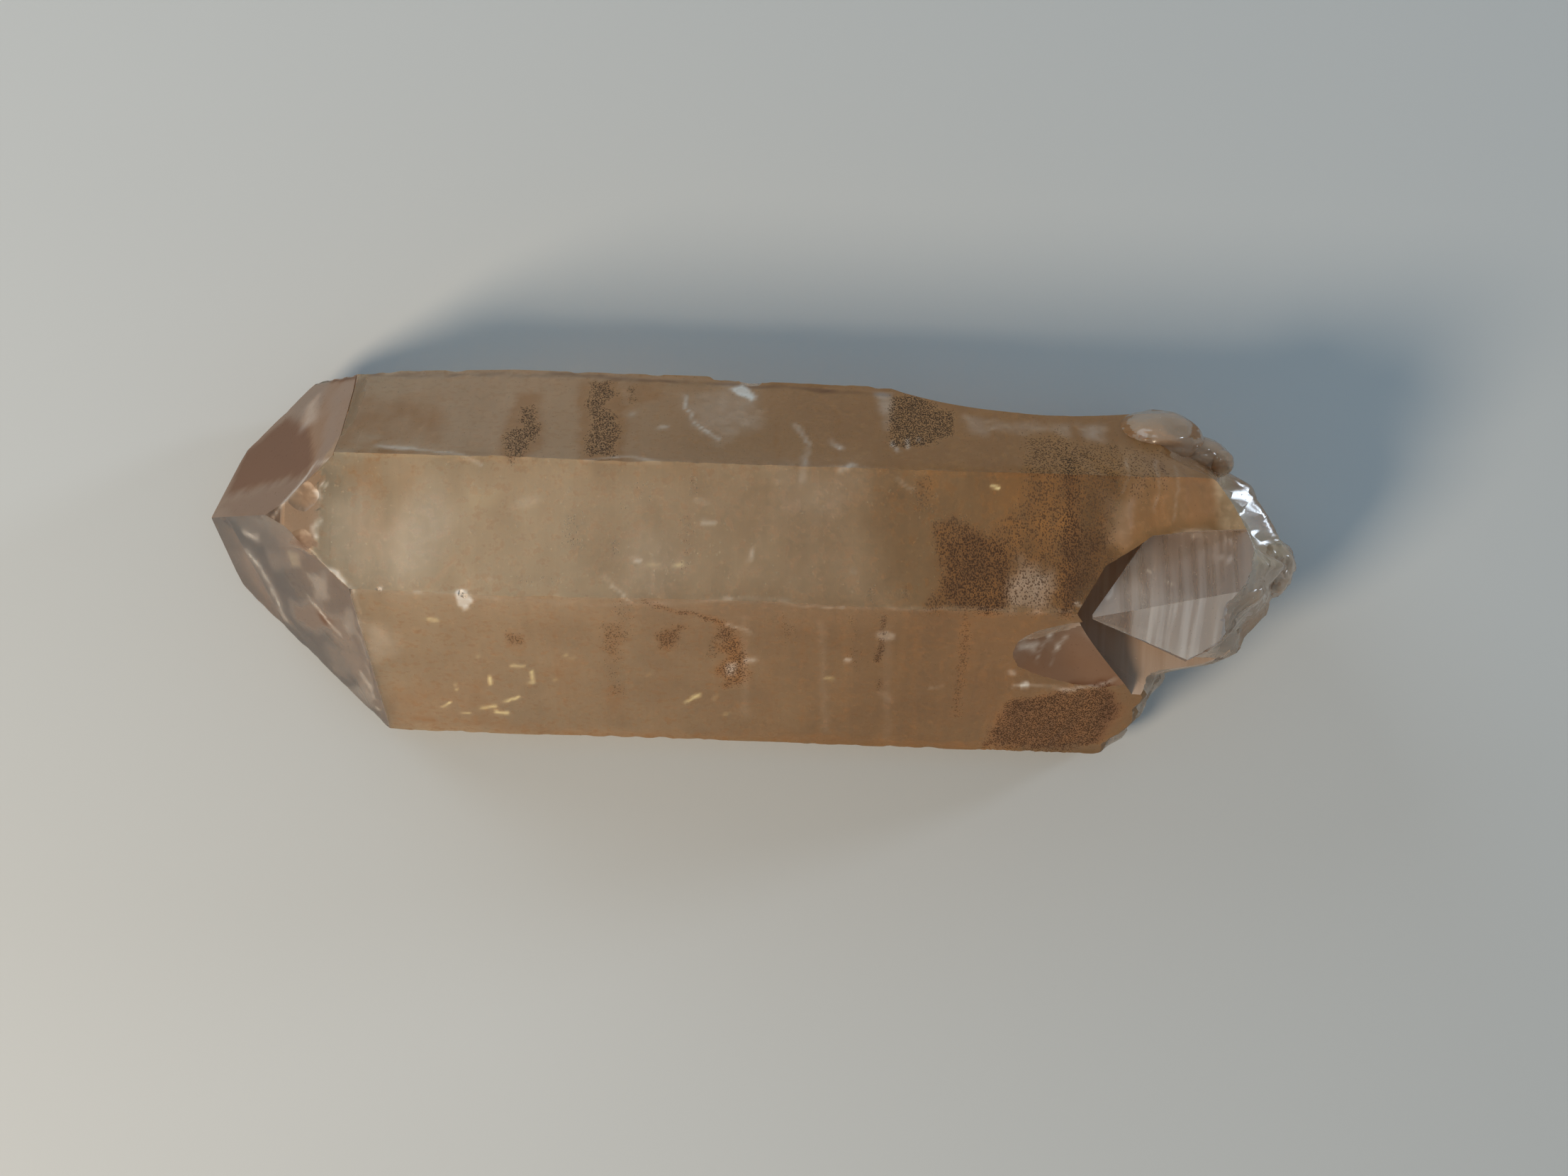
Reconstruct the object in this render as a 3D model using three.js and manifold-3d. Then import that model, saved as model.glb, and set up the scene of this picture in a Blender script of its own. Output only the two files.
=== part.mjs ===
// A Lemurian seed quartz crystal, about 91 mm long, lying on one of its prism faces.
// Millimetres, +Z up. X runs along the crystal's c axis: the point is at -X, the broken root at +X.
// The origin is the middle of the bounding box, on the surface that the crystal rests on.
//
// The crystal grew as one piece, so it is one solid: a six-sided prism with a steep point, a small
// side crystal grown into it near the root, and the conchoidal breaks of the root and the edges.

import * as THREE from "three";
import { mergeVertices } from "three/addons/utils/BufferGeometryUtils.js";
import Module from "manifold-3d";

const wasm = await Module();
wasm.setup();

// ---- Driving dimensions -------------------------------------------------------------------------

const TIP_X = -45.5; // the point's short chisel edge
const HEIGHT = 25; // from the face it rests on to the top face
const AXIS_Y = 0.37; // the line from which every side's distance is measured
const AXIS_Z = HEIGHT / 2;
const UNCUT_X = 52; // where the prism stops before its root is broken off
const LONGEST_FACET = 4; // mm along the axis between two rings on a plain stretch

// Each side of the prism: its azimuth (0 is up, 90 is +Y), its distance from the axis, and the
// shoulder where its face on the point begins, with that face's fall towards the axis in mm per mm.
// steps are growth ledges: [place along X, change of the distance], straight in between.
const SIDES = [
  {
    name: "top",
    azimuth: 0,
    reach: HEIGHT - AXIS_Z,
    shoulder: -36.6,
    fall: 0.787,
    steps: [[-36, 0], [60, 0]],
  },
  {
    name: "upper face of the point",
    azimuth: 57,
    reach: 12.5,
    shoulder: -33,
    fall: 0.888,
    steps: [[-33, 0], [-32.9, 30], [60, 30]],
  },
  {
    name: "upper flank",
    azimuth: 60,
    reach: 12.4,
    shoulder: -50,
    fall: 1,
    steps: [[-36, -0.1], [-21, 0], [-20.8, 0.07], [-9, 0], [-8.8, 0.07], [12, 0.1], [60, 0.3]],
  },
  {
    name: "upper edge",
    azimuth: 90,
    reach: 15.2,
    shoulder: -50,
    fall: 1,
    steps: [[-39, -1.15], [-33, -0.95], [-30.4, -0.5], [-21, 0], [-4.4, 0], [-4.2, -0.3],
      [-3.3, -0.35], [9, -0.4], [9.4, -0.6], [60, -0.6]],
  },
  {
    name: "upper underside",
    azimuth: 120,
    reach: 16.4,
    shoulder: -38.8,
    fall: 0.919,
    steps: [[-38.8, 0], [-14, -0.6], [-13.8, -0.75], [60, -0.9]],
  },
  {
    name: "rest",
    azimuth: 180,
    reach: AXIS_Z,
    shoulder: -39.4,
    fall: 0.787,
    steps: [[-39, 0], [60, 0]],
  },
  {
    name: "underside of the tip",
    azimuth: 180.5,
    reach: 12.6,
    shoulder: -44.35,
    fall: 10.37,
    steps: [[-44.35, 0], [-44.25, 30], [60, 30]],
  },
  {
    name: "lower underside",
    azimuth: 240,
    reach: 18.15,
    shoulder: -31.5,
    fall: 0.787,
    steps: [[-31.5, 0], [-14, -0.2], [-13.8, -0.1], [-3, 0], [14, -0.05], [60, -0.05]],
  },
  {
    name: "lower edge",
    azimuth: 270,
    reach: 16.2,
    shoulder: -50,
    fall: 1,
    steps: [[-33.5, -1.6], [-31.5, -0.45], [-28.3, -0.25], [-22, 0], [20.8, 0], [21.6, 0.3], [60, 0.3]],
  },
  {
    name: "lower flank",
    azimuth: 300,
    reach: 9.37,
    shoulder: -31.4,
    fall: 0.787,
    steps: [[-31, 0], [-18, 0.14], [-17.8, 0.08], [-4, -0.1], [2.3, -0.15], [2.9, 0.1],
      [12, 0.02], [12.2, 0.08], [24, 0], [60, 0]],
  },
];

// The side crystal: a tapering six-sided point that grew into the root end, its tip at the top ridge.
const SIDE_TIP = [26.6, -3.5, 22.8];
const SIDE_LENGTH = 26;
const SIDE_DRIFT = [0.1, -0.45]; // how far its axis moves in Y and Z for each mm of X
const SIDE_FACES = [ // azimuth and distance from its axis for each mm of length
  [24.4, 0.32],
  [100, 0.8],
  [180, 0.5],
  [240, 0.48],
  [288, 0.43],
  [328.3, 0.2],
];

// The notch between the top face and the side crystal: its outline seen from above, and its floor.
const NOTCH = [[25.3, -3.2], [27.4, 0.6], [29.7, 2.1], [31, 3.1], [34.6, 3.6], [60, 5.4], [60, -24],
  [45, -24]];
const NOTCH_FLOOR = 13.5;

// The outline of the broken root seen from above, from the +Y side to the -Y side: [Y, X].
const ROOT = [[-16, 29], [-15.4, 30], [-14, 31.9], [-9.2, 35], [-7.8, 35.7], [-7.2, 37.7],
  [-6, 40], [-3.3, 42], [-1.5, 43.4], [1.3, 44.6], [3.7, 43.6], [5.6, 42.5], [8, 40.7], [9.3, 38.6],
  [11, 36], [13, 34]];
const ROOT_FALL = 0.55; // how far the break leans back for each mm above the middle

// Breaks with a shell-like hollow: the middle of an ellipsoid and its three half axes.
const HOLLOWS = [
  { at: [24.5, 27.6, 9], half: [25, 15.3, 24] }, // long scar along the upper edge
  { at: [28.5, -13.6, 23.6], half: [13.5, 10, 10] }, // scar below the side crystal
  { at: [30.6, -17.3, 3], half: [1.9, 2.1, 2.6] }, // bruises at the lower edge of the root
  { at: [21.2, -16.9, 3.4], half: [1.3, 1.1, 1.5] },
  { at: [-0.9, 16.2, 12], half: [1.3, 1.6, 2] }, // nick in the upper edge
  { at: [-22.6, -3.8, 25.3], half: [0.75, 0.75, 0.9] }, // nicks in the top ridge
  { at: [-29.1, -3.3, 25.3], half: [0.4, 0.4, 0.5] },
  { at: [-35.2, 3.9, 27.6], half: [3, 3, 3] }, // bites along the top face's shoulder
  { at: [-35.3, 0.3, 27.6], half: [2.9, 2.6, 2.9] },
];

// Rounded lumps left standing on the broken root.
const LUMPS = [
  { at: [33.1, 11.3, 14.4], half: [2.9, 2.5, 6] },
  { at: [37, 9.7, 15.2], half: [1.5, 1.4, 3.2] },
  { at: [43, 1.2, 10], half: [2.5, 2.6, 3.6] },
];

// Etch pits on the top face near the root, each a shallow three-sided hole.
const PITS = { count: 46, radius: 0.42, depth: 0.28, from: [14.4, -2.2], to: [26.4, 6.8] };

// ---- Small tools --------------------------------------------------------------------------------

const radians = (degrees) => THREE.MathUtils.degToRad(degrees);
const clamp = THREE.MathUtils.clamp;

// Straight-line value of a table of [place, value] at x.
function along(table, x) {
  const last = table.length - 1;
  if (x <= table[0][0]) return table[0][1];
  if (x >= table[last][0]) return table[last][1];
  const i = table.findIndex(([place]) => place > x) - 1;
  const [a, b] = [table[i], table[i + 1]];
  return a[1] + ((x - a[0]) / (b[0] - a[0])) * (b[1] - a[1]);
}

// A closed mesh as a manifold-3d solid.
function solid(geometry) {
  const bare = geometry.clone();
  bare.deleteAttribute("normal");
  bare.deleteAttribute("uv");
  const merged = mergeVertices(bare, 1e-5);
  const index = merged.index.array;
  const kept = [];
  for (let i = 0; i < index.length; i += 3) {
    const [a, b, c] = [index[i], index[i + 1], index[i + 2]];
    if (a !== b && b !== c && c !== a) kept.push(a, b, c);
  }
  return new wasm.Manifold(
    new wasm.Mesh({
      numProp: 3,
      vertProperties: merged.attributes.position.array,
      triVerts: new Uint32Array(kept),
    }),
  );
}

// A solid as a three.js geometry.
function geometryOf(made) {
  const mesh = made.getMesh();
  const geometry = new THREE.BufferGeometry();
  geometry.setAttribute("position", new THREE.BufferAttribute(mesh.vertProperties, 3));
  geometry.setIndex(new THREE.BufferAttribute(mesh.triVerts, 1));
  geometry.computeVertexNormals();
  return geometry;
}

// A closed skin over rings that all have the same number of points: sides between rings, flat ends.
function skin(rings) {
  const count = rings[0].length;
  const points = rings.flat();
  const index = [];
  for (let i = 0; i + 1 < rings.length; i++) {
    for (let j = 0; j < count; j++) {
      const k = (j + 1) % count;
      const [a, b, c, d] = [i * count + j, i * count + k, (i + 1) * count + k, (i + 1) * count + j];
      index.push(a, c, b, a, d, c);
    }
  }
  const end = (rings.length - 1) * count;
  for (let j = 1; j + 1 < count; j++) {
    index.push(0, j, j + 1);
    index.push(end, end + j + 1, end + j);
  }
  const geometry = new THREE.BufferGeometry();
  geometry.setAttribute("position", new THREE.Float32BufferAttribute(points.flat(), 3));
  geometry.setIndex(index);
  return geometry;
}

// ---- A crystal as many-sided sections carried along its axis ------------------------------------

// The corners of the section whose sides have these azimuths and distances from the axis. Corner i
// lies between side i and the next one; a side that the others cut off has both corners together.
function corners(azimuths, distances) {
  const count = azimuths.length;
  const normals = azimuths.map((a) => [Math.sin(radians(a)), Math.cos(radians(a))]);
  const ends = normals.map(([y, z], i) => {
    let [low, high] = [-Infinity, Infinity];
    normals.forEach(([v, w], j) => {
      if (j === i) return;
      const across = v * z - w * y; // the other side's normal along this side's direction
      const room = distances[j] - distances[i] * (y * v + z * w);
      if (across > 1e-9) high = Math.min(high, room / across);
      else if (across < -1e-9) low = Math.max(low, room / across);
    });
    return { low, high, start: [y, z], kept: high > low };
  });
  const point = (i, t) => {
    const [y, z] = normals[i];
    return [y * distances[i] + z * t, z * distances[i] - y * t];
  };
  return ends.map((_, i) => {
    let j = i; // the last side at or before this corner that still shows
    for (let n = 0; n < count && !ends[j].kept; n++) j = (j + count - 1) % count;
    return point(j, ends[j].high);
  });
}

function sideDistance(side, x) {
  const grown = side.reach + along(side.steps, x);
  const onPoint = side.reach + along(side.steps, side.shoulder) - (side.shoulder - x) * side.fall;
  return x < side.shoulder ? onPoint : grown;
}

const azimuths = SIDES.map((side) => side.azimuth);
const sectionAt = (x) => corners(azimuths, SIDES.map((side) => sideDistance(side, x)));

const sideLength = (section, i) => {
  const [a, b] = [section[(i + section.length - 1) % section.length], section[i]];
  return Math.hypot(a[0] - b[0], a[1] - b[1]);
};

// The places along X where a ring is needed: the shoulders, the ledges, where a side runs out, and
// enough in between.
function stations() {
  const found = new Set([TIP_X, UNCUT_X]);
  for (const side of SIDES) {
    const places = [side.shoulder, ...side.steps.map(([x]) => x)];
    places.filter((x) => x > TIP_X && x < UNCUT_X).forEach((x) => found.add(x));
  }
  const sorted = () => [...found].sort((a, b) => a - b);
  const gone = (x, i) => sideLength(sectionAt(x), i) < 1e-6;
  const step = 0.25;
  for (let x = TIP_X + step; x + step < UNCUT_X; x += step) {
    SIDES.forEach((_, i) => {
      if (gone(x, i) === gone(x + step, i)) return;
      let [low, high] = [x, x + step];
      for (let n = 0; n < 24; n++) {
        const middle = (low + high) / 2;
        if (gone(middle, i) === gone(low, i)) low = middle;
        else high = middle;
      }
      found.add(Math.round(low * 1e4) / 1e4);
    });
  }
  const places = sorted();
  places.slice(1).forEach((x, i) => {
    const gap = x - places[i];
    const parts = Math.ceil(gap / LONGEST_FACET);
    for (let n = 1; n < parts; n++) found.add(places[i] + (gap * n) / parts);
  });
  return sorted();
}

function mainCrystal() {
  const rings = stations().map((x) => sectionAt(x).map(([y, z]) => [x, y + AXIS_Y, z + AXIS_Z]));
  return solid(skin(rings));
}

function sideCrystal() {
  const [tipX, tipY, tipZ] = SIDE_TIP;
  const turns = SIDE_FACES.map(([azimuth]) => azimuth);
  const ring = (t) =>
    corners(turns, SIDE_FACES.map(([, reach]) => reach * t)).map(([y, z]) => [
      tipX + t,
      tipY + SIDE_DRIFT[0] * t + y,
      tipZ + SIDE_DRIFT[1] * t + z,
    ]);
  return solid(skin([0, SIDE_LENGTH / 2, SIDE_LENGTH].map(ring)));
}

// ---- Breaks, lumps and pits ---------------------------------------------------------------------

function ball({ at, half }, detail = 14) {
  const geometry = new THREE.SphereGeometry(1, detail * 2, detail);
  geometry.scale(...half);
  geometry.translate(...at);
  return solid(geometry);
}

function notch() {
  const outline = new THREE.Shape(NOTCH.map(([x, y]) => new THREE.Vector2(x, y)));
  const geometry = new THREE.ExtrudeGeometry(outline, { depth: 2 * HEIGHT, bevelEnabled: false });
  geometry.translate(0, 0, NOTCH_FLOOR);
  return solid(geometry);
}

// How far the root reaches in X at each place of the section: the outline, leaning back above the
// middle and a little below it, and rippled as glass breaks.
function rootEnd(y, z) {
  const above = -ROOT_FALL * Math.max(z - 12, 0);
  const flank = -0.2 * Math.max(z - 4, 0) * clamp(-7 - y, 0, 1);
  const below = -0.35 * Math.max(9 - z, 0) * clamp((y + 9) / 3, 0, 1);
  const ripple = 0.32 * Math.sin(0.9 * z + 0.5 * y) + 0.22 * Math.sin(1.7 * y - 0.6 * z + 1.3);
  return along(ROOT, y) + above + flank + below + ripple;
}

// Everything beyond the broken root, as a block whose near side is the break.
function beyondRoot() {
  const [yFrom, yTo, zFrom, zTo, cell] = [-24, 24, -6, 36, 1.2];
  const [columns, rows] = [(yTo - yFrom) / cell, (zTo - zFrom) / cell];
  const points = [];
  for (const far of [false, true]) {
    for (let i = 0; i <= columns; i++) {
      for (let j = 0; j <= rows; j++) {
        const [y, z] = [yFrom + i * cell, zFrom + j * cell];
        points.push(far ? 2 * UNCUT_X : rootEnd(y, z), y, z);
      }
    }
  }
  const layer = (columns + 1) * (rows + 1);
  const at = (i, j, far) => i * (rows + 1) + j + (far ? layer : 0);
  const index = [];
  const quad = (a, b, c, d) => index.push(a, b, c, a, c, d);
  for (let i = 0; i < columns; i++) {
    for (let j = 0; j < rows; j++) {
      quad(at(i, j, false), at(i, j + 1, false), at(i + 1, j + 1, false), at(i + 1, j, false));
      quad(at(i, j, true), at(i + 1, j, true), at(i + 1, j + 1, true), at(i, j + 1, true));
    }
    quad(at(i, 0, false), at(i + 1, 0, false), at(i + 1, 0, true), at(i, 0, true));
    quad(at(i, rows, false), at(i, rows, true), at(i + 1, rows, true), at(i + 1, rows, false));
  }
  for (let j = 0; j < rows; j++) {
    quad(at(0, j, false), at(0, j, true), at(0, j + 1, true), at(0, j + 1, false));
    quad(at(columns, j, false), at(columns, j + 1, false), at(columns, j + 1, true), at(columns, j, true));
  }
  const geometry = new THREE.BufferGeometry();
  geometry.setAttribute("position", new THREE.Float32BufferAttribute(points, 3));
  geometry.setIndex(index);
  return solid(geometry);
}

// Shallow three-sided holes, scattered by golden-ratio steps so that they never line up.
function pits() {
  const golden = (Math.sqrt(5) - 1) / 2;
  const [[x0, y0], [x1, y1]] = [PITS.from, PITS.to];
  const holes = [];
  for (let n = 0; n < PITS.count; n++) {
    const size = PITS.radius * (0.6 + 0.4 * Math.sin(n * 2.4));
    const hole = new THREE.ConeGeometry(size, 2 * PITS.depth, 3);
    hole.rotateX(-Math.PI / 2);
    hole.rotateZ(n * 1.9);
    const x = x0 + ((n * golden) % 1) * (x1 - x0);
    const y = y0 + ((n + 0.5) / PITS.count) * (y1 - y0);
    hole.translate(x, y, HEIGHT);
    holes.push(solid(hole));
  }
  return holes.reduce((all, hole) => all.add(hole));
}

function crystal() {
  let made = mainCrystal().subtract(notch());
  for (const hollow of HOLLOWS) made = made.subtract(ball(hollow));
  made = made.add(sideCrystal()).subtract(beyondRoot());
  for (const lump of LUMPS) made = made.add(ball(lump, 10));
  return geometryOf(made.subtract(pits()));
}

const quartz = new THREE.MeshStandardMaterial({ color: 0xb79f86, roughness: 0.35, metalness: 0 });
const mesh = new THREE.Mesh(crystal(), quartz);
mesh.name = "quartz_crystal";

const group = new THREE.Group();
group.add(mesh);
export default group;
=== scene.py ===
import math

import bmesh
import bpy
import numpy as np
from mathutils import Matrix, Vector


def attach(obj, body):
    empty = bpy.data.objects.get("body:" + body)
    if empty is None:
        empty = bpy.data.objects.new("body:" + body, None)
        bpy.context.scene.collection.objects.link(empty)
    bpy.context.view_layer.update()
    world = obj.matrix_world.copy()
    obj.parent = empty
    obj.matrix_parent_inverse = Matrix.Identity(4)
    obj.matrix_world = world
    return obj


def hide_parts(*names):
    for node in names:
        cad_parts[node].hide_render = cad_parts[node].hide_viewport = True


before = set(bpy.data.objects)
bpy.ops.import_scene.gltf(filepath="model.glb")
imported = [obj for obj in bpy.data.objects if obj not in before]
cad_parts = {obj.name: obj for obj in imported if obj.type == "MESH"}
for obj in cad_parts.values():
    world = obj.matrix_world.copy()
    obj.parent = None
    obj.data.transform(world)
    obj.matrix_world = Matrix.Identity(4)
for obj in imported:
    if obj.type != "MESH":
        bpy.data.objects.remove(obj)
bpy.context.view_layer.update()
mm = 0.001
print("frame loaded")

# The camera looks straight down, turned by some degrees about its line of sight.
cameraFacts = {"at": (0.00243, -0.00198, 0.2017), "turn": 2.0, "lens": 52.14, "sensor": 36.0, "nearest": 0.01}

# The whole numbers that scramble a lattice corner and a seed into a random number.
scramble = {"x": 374761393, "y": 668265263, "z": 2246822519, "seed": 3266489917, "mix": 1274126177}
allBits = 0xFFFFFFFF
octaveShift = 17.3  # keeps the lattices of two octaves apart


# Value noise from -1 to 1: random numbers on a lattice, blended between its eight nearest corners by a
# smooth step.
def valueNoise(points, seed):
    cell = np.floor(points).astype(np.int64)
    part = points - cell
    part = part * part * (3 - 2 * part)
    total = np.zeros(points.shape[:-1])
    for corner in range(8):
        step = np.array([corner & 1, corner >> 1 & 1, corner >> 2 & 1])
        at = cell + step
        number = at[..., 0] * scramble["x"] + at[..., 1] * scramble["y"] + at[..., 2] * scramble["z"]
        number = (number + seed * scramble["seed"]) & allBits
        number = ((number ^ (number >> 13)) * scramble["mix"]) & allBits
        number = number ^ (number >> 16)
        weight = np.prod(np.where(step, part, 1 - part), axis=-1)
        total += weight * (number / allBits * 2 - 1)
    return total


# Several octaves of value noise, each twice as fine and half as strong as the one before.
def roughNoise(points, octaves, seed):
    total = np.zeros(points.shape[:-1])
    for octave in range(octaves):
        total += valueNoise(points * 2**octave + octaveShift * octave, seed + octave) / 2**octave
    return total / (2 - 2 ** (1 - octaves))


# The noise that a (scale, octaves, seed) triple asks for.
def namedNoise(points, facts):
    scale, octaves, seed = facts
    return roughNoise(points * scale, octaves, seed)


# Heights rounded to so many terraces for each unit.
def terraces(height, count):
    return np.round(count * height) / count


# From 0 at low to 1 at high, level at both: 3 t squared less 2 t cubed.
def smoothStep(low, high, value):
    t = np.clip((value - low) / (high - low), 0, 1)
    return t * t * (3 - 2 * t)


# A closed skin over a grid of points, rows x columns x 3 in millimetres: the columns wrap round, and each
# end row is closed by a fan to its middle point.
def closedGrid(name, grid):
    rows, columns = grid.shape[:2]
    ends = np.stack([grid[0].mean(0), grid[-1].mean(0)])
    verts = np.concatenate([grid.reshape(-1, 3), ends]) * mm
    index = np.arange(rows * columns).reshape(rows, columns)
    right = np.roll(index, -1, axis=1)
    quads = np.stack([index[:-1], index[1:], right[1:], right[:-1]], -1).reshape(-1, 4)
    first = np.stack([np.full(columns, rows * columns), index[0], right[0]], -1)
    last = np.stack([np.full(columns, rows * columns + 1), right[-1], index[-1]], -1)
    mesh = bpy.data.meshes.new(name)
    mesh.from_pydata(verts.tolist(), [], quads.tolist() + first.tolist() + last.tolist())
    piece = bpy.data.objects.new(name, mesh)
    bpy.context.scene.collection.objects.link(piece)
    return piece


weldGap = {"body": 2e-6, "tool": 1e-9}  # metres


# Merges the points that lie on each other, drops the faces that this leaves with no area, and turns all
# faces outward.
def weld(piece, gap):
    work = bmesh.new()
    work.from_mesh(piece.data)
    bmesh.ops.remove_doubles(work, verts=work.verts, dist=gap)
    bmesh.ops.dissolve_degenerate(work, edges=work.edges, dist=gap)
    bmesh.ops.recalc_face_normals(work, faces=work.faces)
    work.to_mesh(piece.data)
    work.free()


# Cuts the tools out of the piece, or joins them to it, and keeps the result as the piece's own mesh.
def combine(piece, tools, operation):
    group = bpy.data.collections.new("tools")
    bpy.context.scene.collection.children.link(group)
    for tool in tools:
        weld(tool, weldGap["tool"])
        group.objects.link(tool)
    step = piece.modifiers.new("combine", "BOOLEAN")
    step.operation = operation
    step.solver = "MANIFOLD"
    step.operand_type = "COLLECTION"
    step.collection = group
    made = bpy.data.meshes.new_from_object(piece.evaluated_get(bpy.context.evaluated_depsgraph_get()))
    piece.modifiers.clear()
    piece.data = made
    for tool in tools:
        bpy.data.objects.remove(tool)
    bpy.data.collections.remove(group)


# The piece's points in millimetres.
def meshPoints(piece):
    points = np.zeros(len(piece.data.vertices) * 3)
    piece.data.vertices.foreach_get("co", points)
    return points.reshape(-1, 3) / mm


# Every face corner's point number, and every face's number of corners, middle and normal.
def meshCorners(piece):
    mesh = piece.data
    number = np.zeros(len(mesh.loops), int)
    mesh.loops.foreach_get("vertex_index", number)
    total = np.zeros(len(mesh.polygons), int)
    mesh.polygons.foreach_get("loop_total", total)
    middle, normal = np.zeros(len(total) * 3), np.zeros(len(total) * 3)
    mesh.polygons.foreach_get("center", middle)
    mesh.polygons.foreach_get("normal", normal)
    return number, total, middle.reshape(-1, 3) / mm, normal.reshape(-1, 3)


# Stores a finish, held between 0 and 1, at every face corner.
def giveAttribute(piece, name, values):
    layer = piece.data.attributes.new(name, "FLOAT", "CORNER")
    layer.data.foreach_set("value", np.clip(values, 0, 1).astype(np.float32))


# Each side: its azimuth (0 is up, 90 is +Y), its distance from the axis, the place where its face on the
# point begins, that face's fall towards the axis in mm per mm, its growth steps as (place along X, change
# of distance), and how many grid points run across it.
crystal = {
    "tip": -45.5,
    "end": 47.0,
    "axis": (0.37, 12.5),
    "ringGap": 0.30,
    "stretchFrom": 18.0,
    "capRings": 46,
    "crowding": 0.32,  # how much denser the grid points lie near a side's corners
    "sides": [
        ("top", 0, 12.5, -36.6, 0.787, [(-36, 0), (60, 0)], 44),
        ("pointUpper", 57, 12.5, -33, 0.888, [(-33, 0), (-32.9, 30), (60, 30)], 40),
        ("upper", 60, 12.4, -50, 1,
         [(-36, -0.1), (-21, 0), (-20.8, 0.07), (-9, 0), (-8.8, 0.07), (12, 0.1), (60, 0.3)], 48),
        ("upperEdge", 90, 15.2, -50, 1,
         [(-39, -1.15), (-33, -0.95), (-30.4, -0.5), (-21, 0), (-4.4, 0), (-4.2, -0.3), (-3.3, -0.35),
          (9, -0.4), (9.4, -0.6), (60, -0.6)], 14),
        ("upperUnder", 120, 16.4, -38.8, 0.919, [(-38.8, 0), (-14, -0.6), (-13.8, -0.75), (60, -0.9)], 20),
        ("rest", 180, 12.5, -39.4, 0.787, [(-39, 0), (60, 0)], 22),
        ("tipUnder", 180.5, 12.6, -44.35, 10.37, [(-44.35, 0), (-44.25, 30), (60, 30)], 8),
        ("lowerUnder", 240, 18.15, -31.5, 0.787,
         [(-31.5, 0), (-14, -0.2), (-13.8, -0.1), (-3, 0), (14, -0.05), (60, -0.05)], 12),
        ("lowerEdge", 270, 16.2, -50, 1,
         [(-33.5, -1.6), (-31.5, -0.45), (-28.3, -0.25), (-22, 0), (20.8, 0), (21.6, 0.3), (60, 0.3)], 8),
        ("lower", 300, 9.37, -31.4, 0.787,
         [(-31, 0), (-18, 0.14), (-17.8, 0.08), (-4, -0.1), (2.3, -0.12), (3.6, -0.02), (12, 0.02),
          (12.2, 0.08), (24, 0), (60, 0)], 66),
    ],
    "grownFrom": {"upper": -33.4, "top": -34.2},  # where these sides' growth steps begin
    "glassy": ["pointUpper", "tipUnder"],  # sides of the point alone
    "shoulderRun": 0.8,
    "ledge": 0.055,  # height of the larger ladder steps
    "ledgeLift": 1,  # moves the steps so that most lie inward
    "ledgeCount": 3.2,
    "rungShare": 0.35,  # the smaller steps beside the larger ones
    "rungCount": 2.5,
    "wave": 0.03,
    "waveLift": 0.6,
    "fine": 0.012,
    "softRidge": 0.16,  # how far the ridge between the top face and the upper flank is rounded back
    "softReach": 0.8,
    "softRun": 6,  # how far from that ridge the rounding may reach
    "unevenness": (0.6, 0.8),
    "wear": 0.11,  # how far the edges are rubbed and chipped back
    "wearReach": 0.3,
    "rubbed": 0.15,  # wear everywhere, and the further wear of a chip
    "chipped": 2.2,
    "chipLevel": 0.12,
    "restWear": 0.2,  # share of the wear at the face that it rests on, below restBelow
    "restBelow": 1,
    "tipRun": 1.5,  # length of the tip that is left sharp
    "cornerRun": 0.5,  # width beside a side's corners where its steps fade out
    "axisRun": 3,  # radius within which the wear fades out
    "sideSpread": 40,  # mm that keep the sides' noise apart
    "ladderNoise": ((0.42, 0.03, 1), 2, 3),  # scale, octaves, seed
    "rungNoise": ((2.1, 0.07, 1), 2, 7),
    "waveNoise": ((0.09, 0.16, 1), 3, 11),
    "fineNoise": ((1.3, 0.9, 1), 2, 15),
    "chipNoise": (0.9, 3, 21),
    "ridgeNoise": ((0.35, 0, 0), 2, 23),
}
sideNames = np.array([side[0] for side in crystal["sides"]])

# The outline of the broken root seen from above: (Y, X).
rootOutline = [(-16, 29), (-15.4, 30), (-14, 31.9), (-9.2, 35), (-7.8, 35.7), (-7.2, 37.7), (-6, 40),
               (-3.3, 42), (-1.5, 43.4), (1.3, 44.6), (3.7, 43.6), (5.6, 42.5), (8, 40.7), (9.3, 38.6),
               (11, 36), (13, 34)]


# The distance of every side from the axis at every ring: its reach and growth steps, or past its shoulder
# the plane that falls to the axis.
def sideDistances(x):
    table = []
    for name, azimuth, reach, shoulder, fall, steps, count in crystal["sides"]:
        places, changes = zip(*steps)
        grown = reach + np.interp(x, places, changes)
        onPoint = reach + np.interp(shoulder, places, changes) - (shoulder - x) * fall
        table.append(np.where(x < shoulder, onPoint, grown))
    return np.stack(table, 1)


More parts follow.
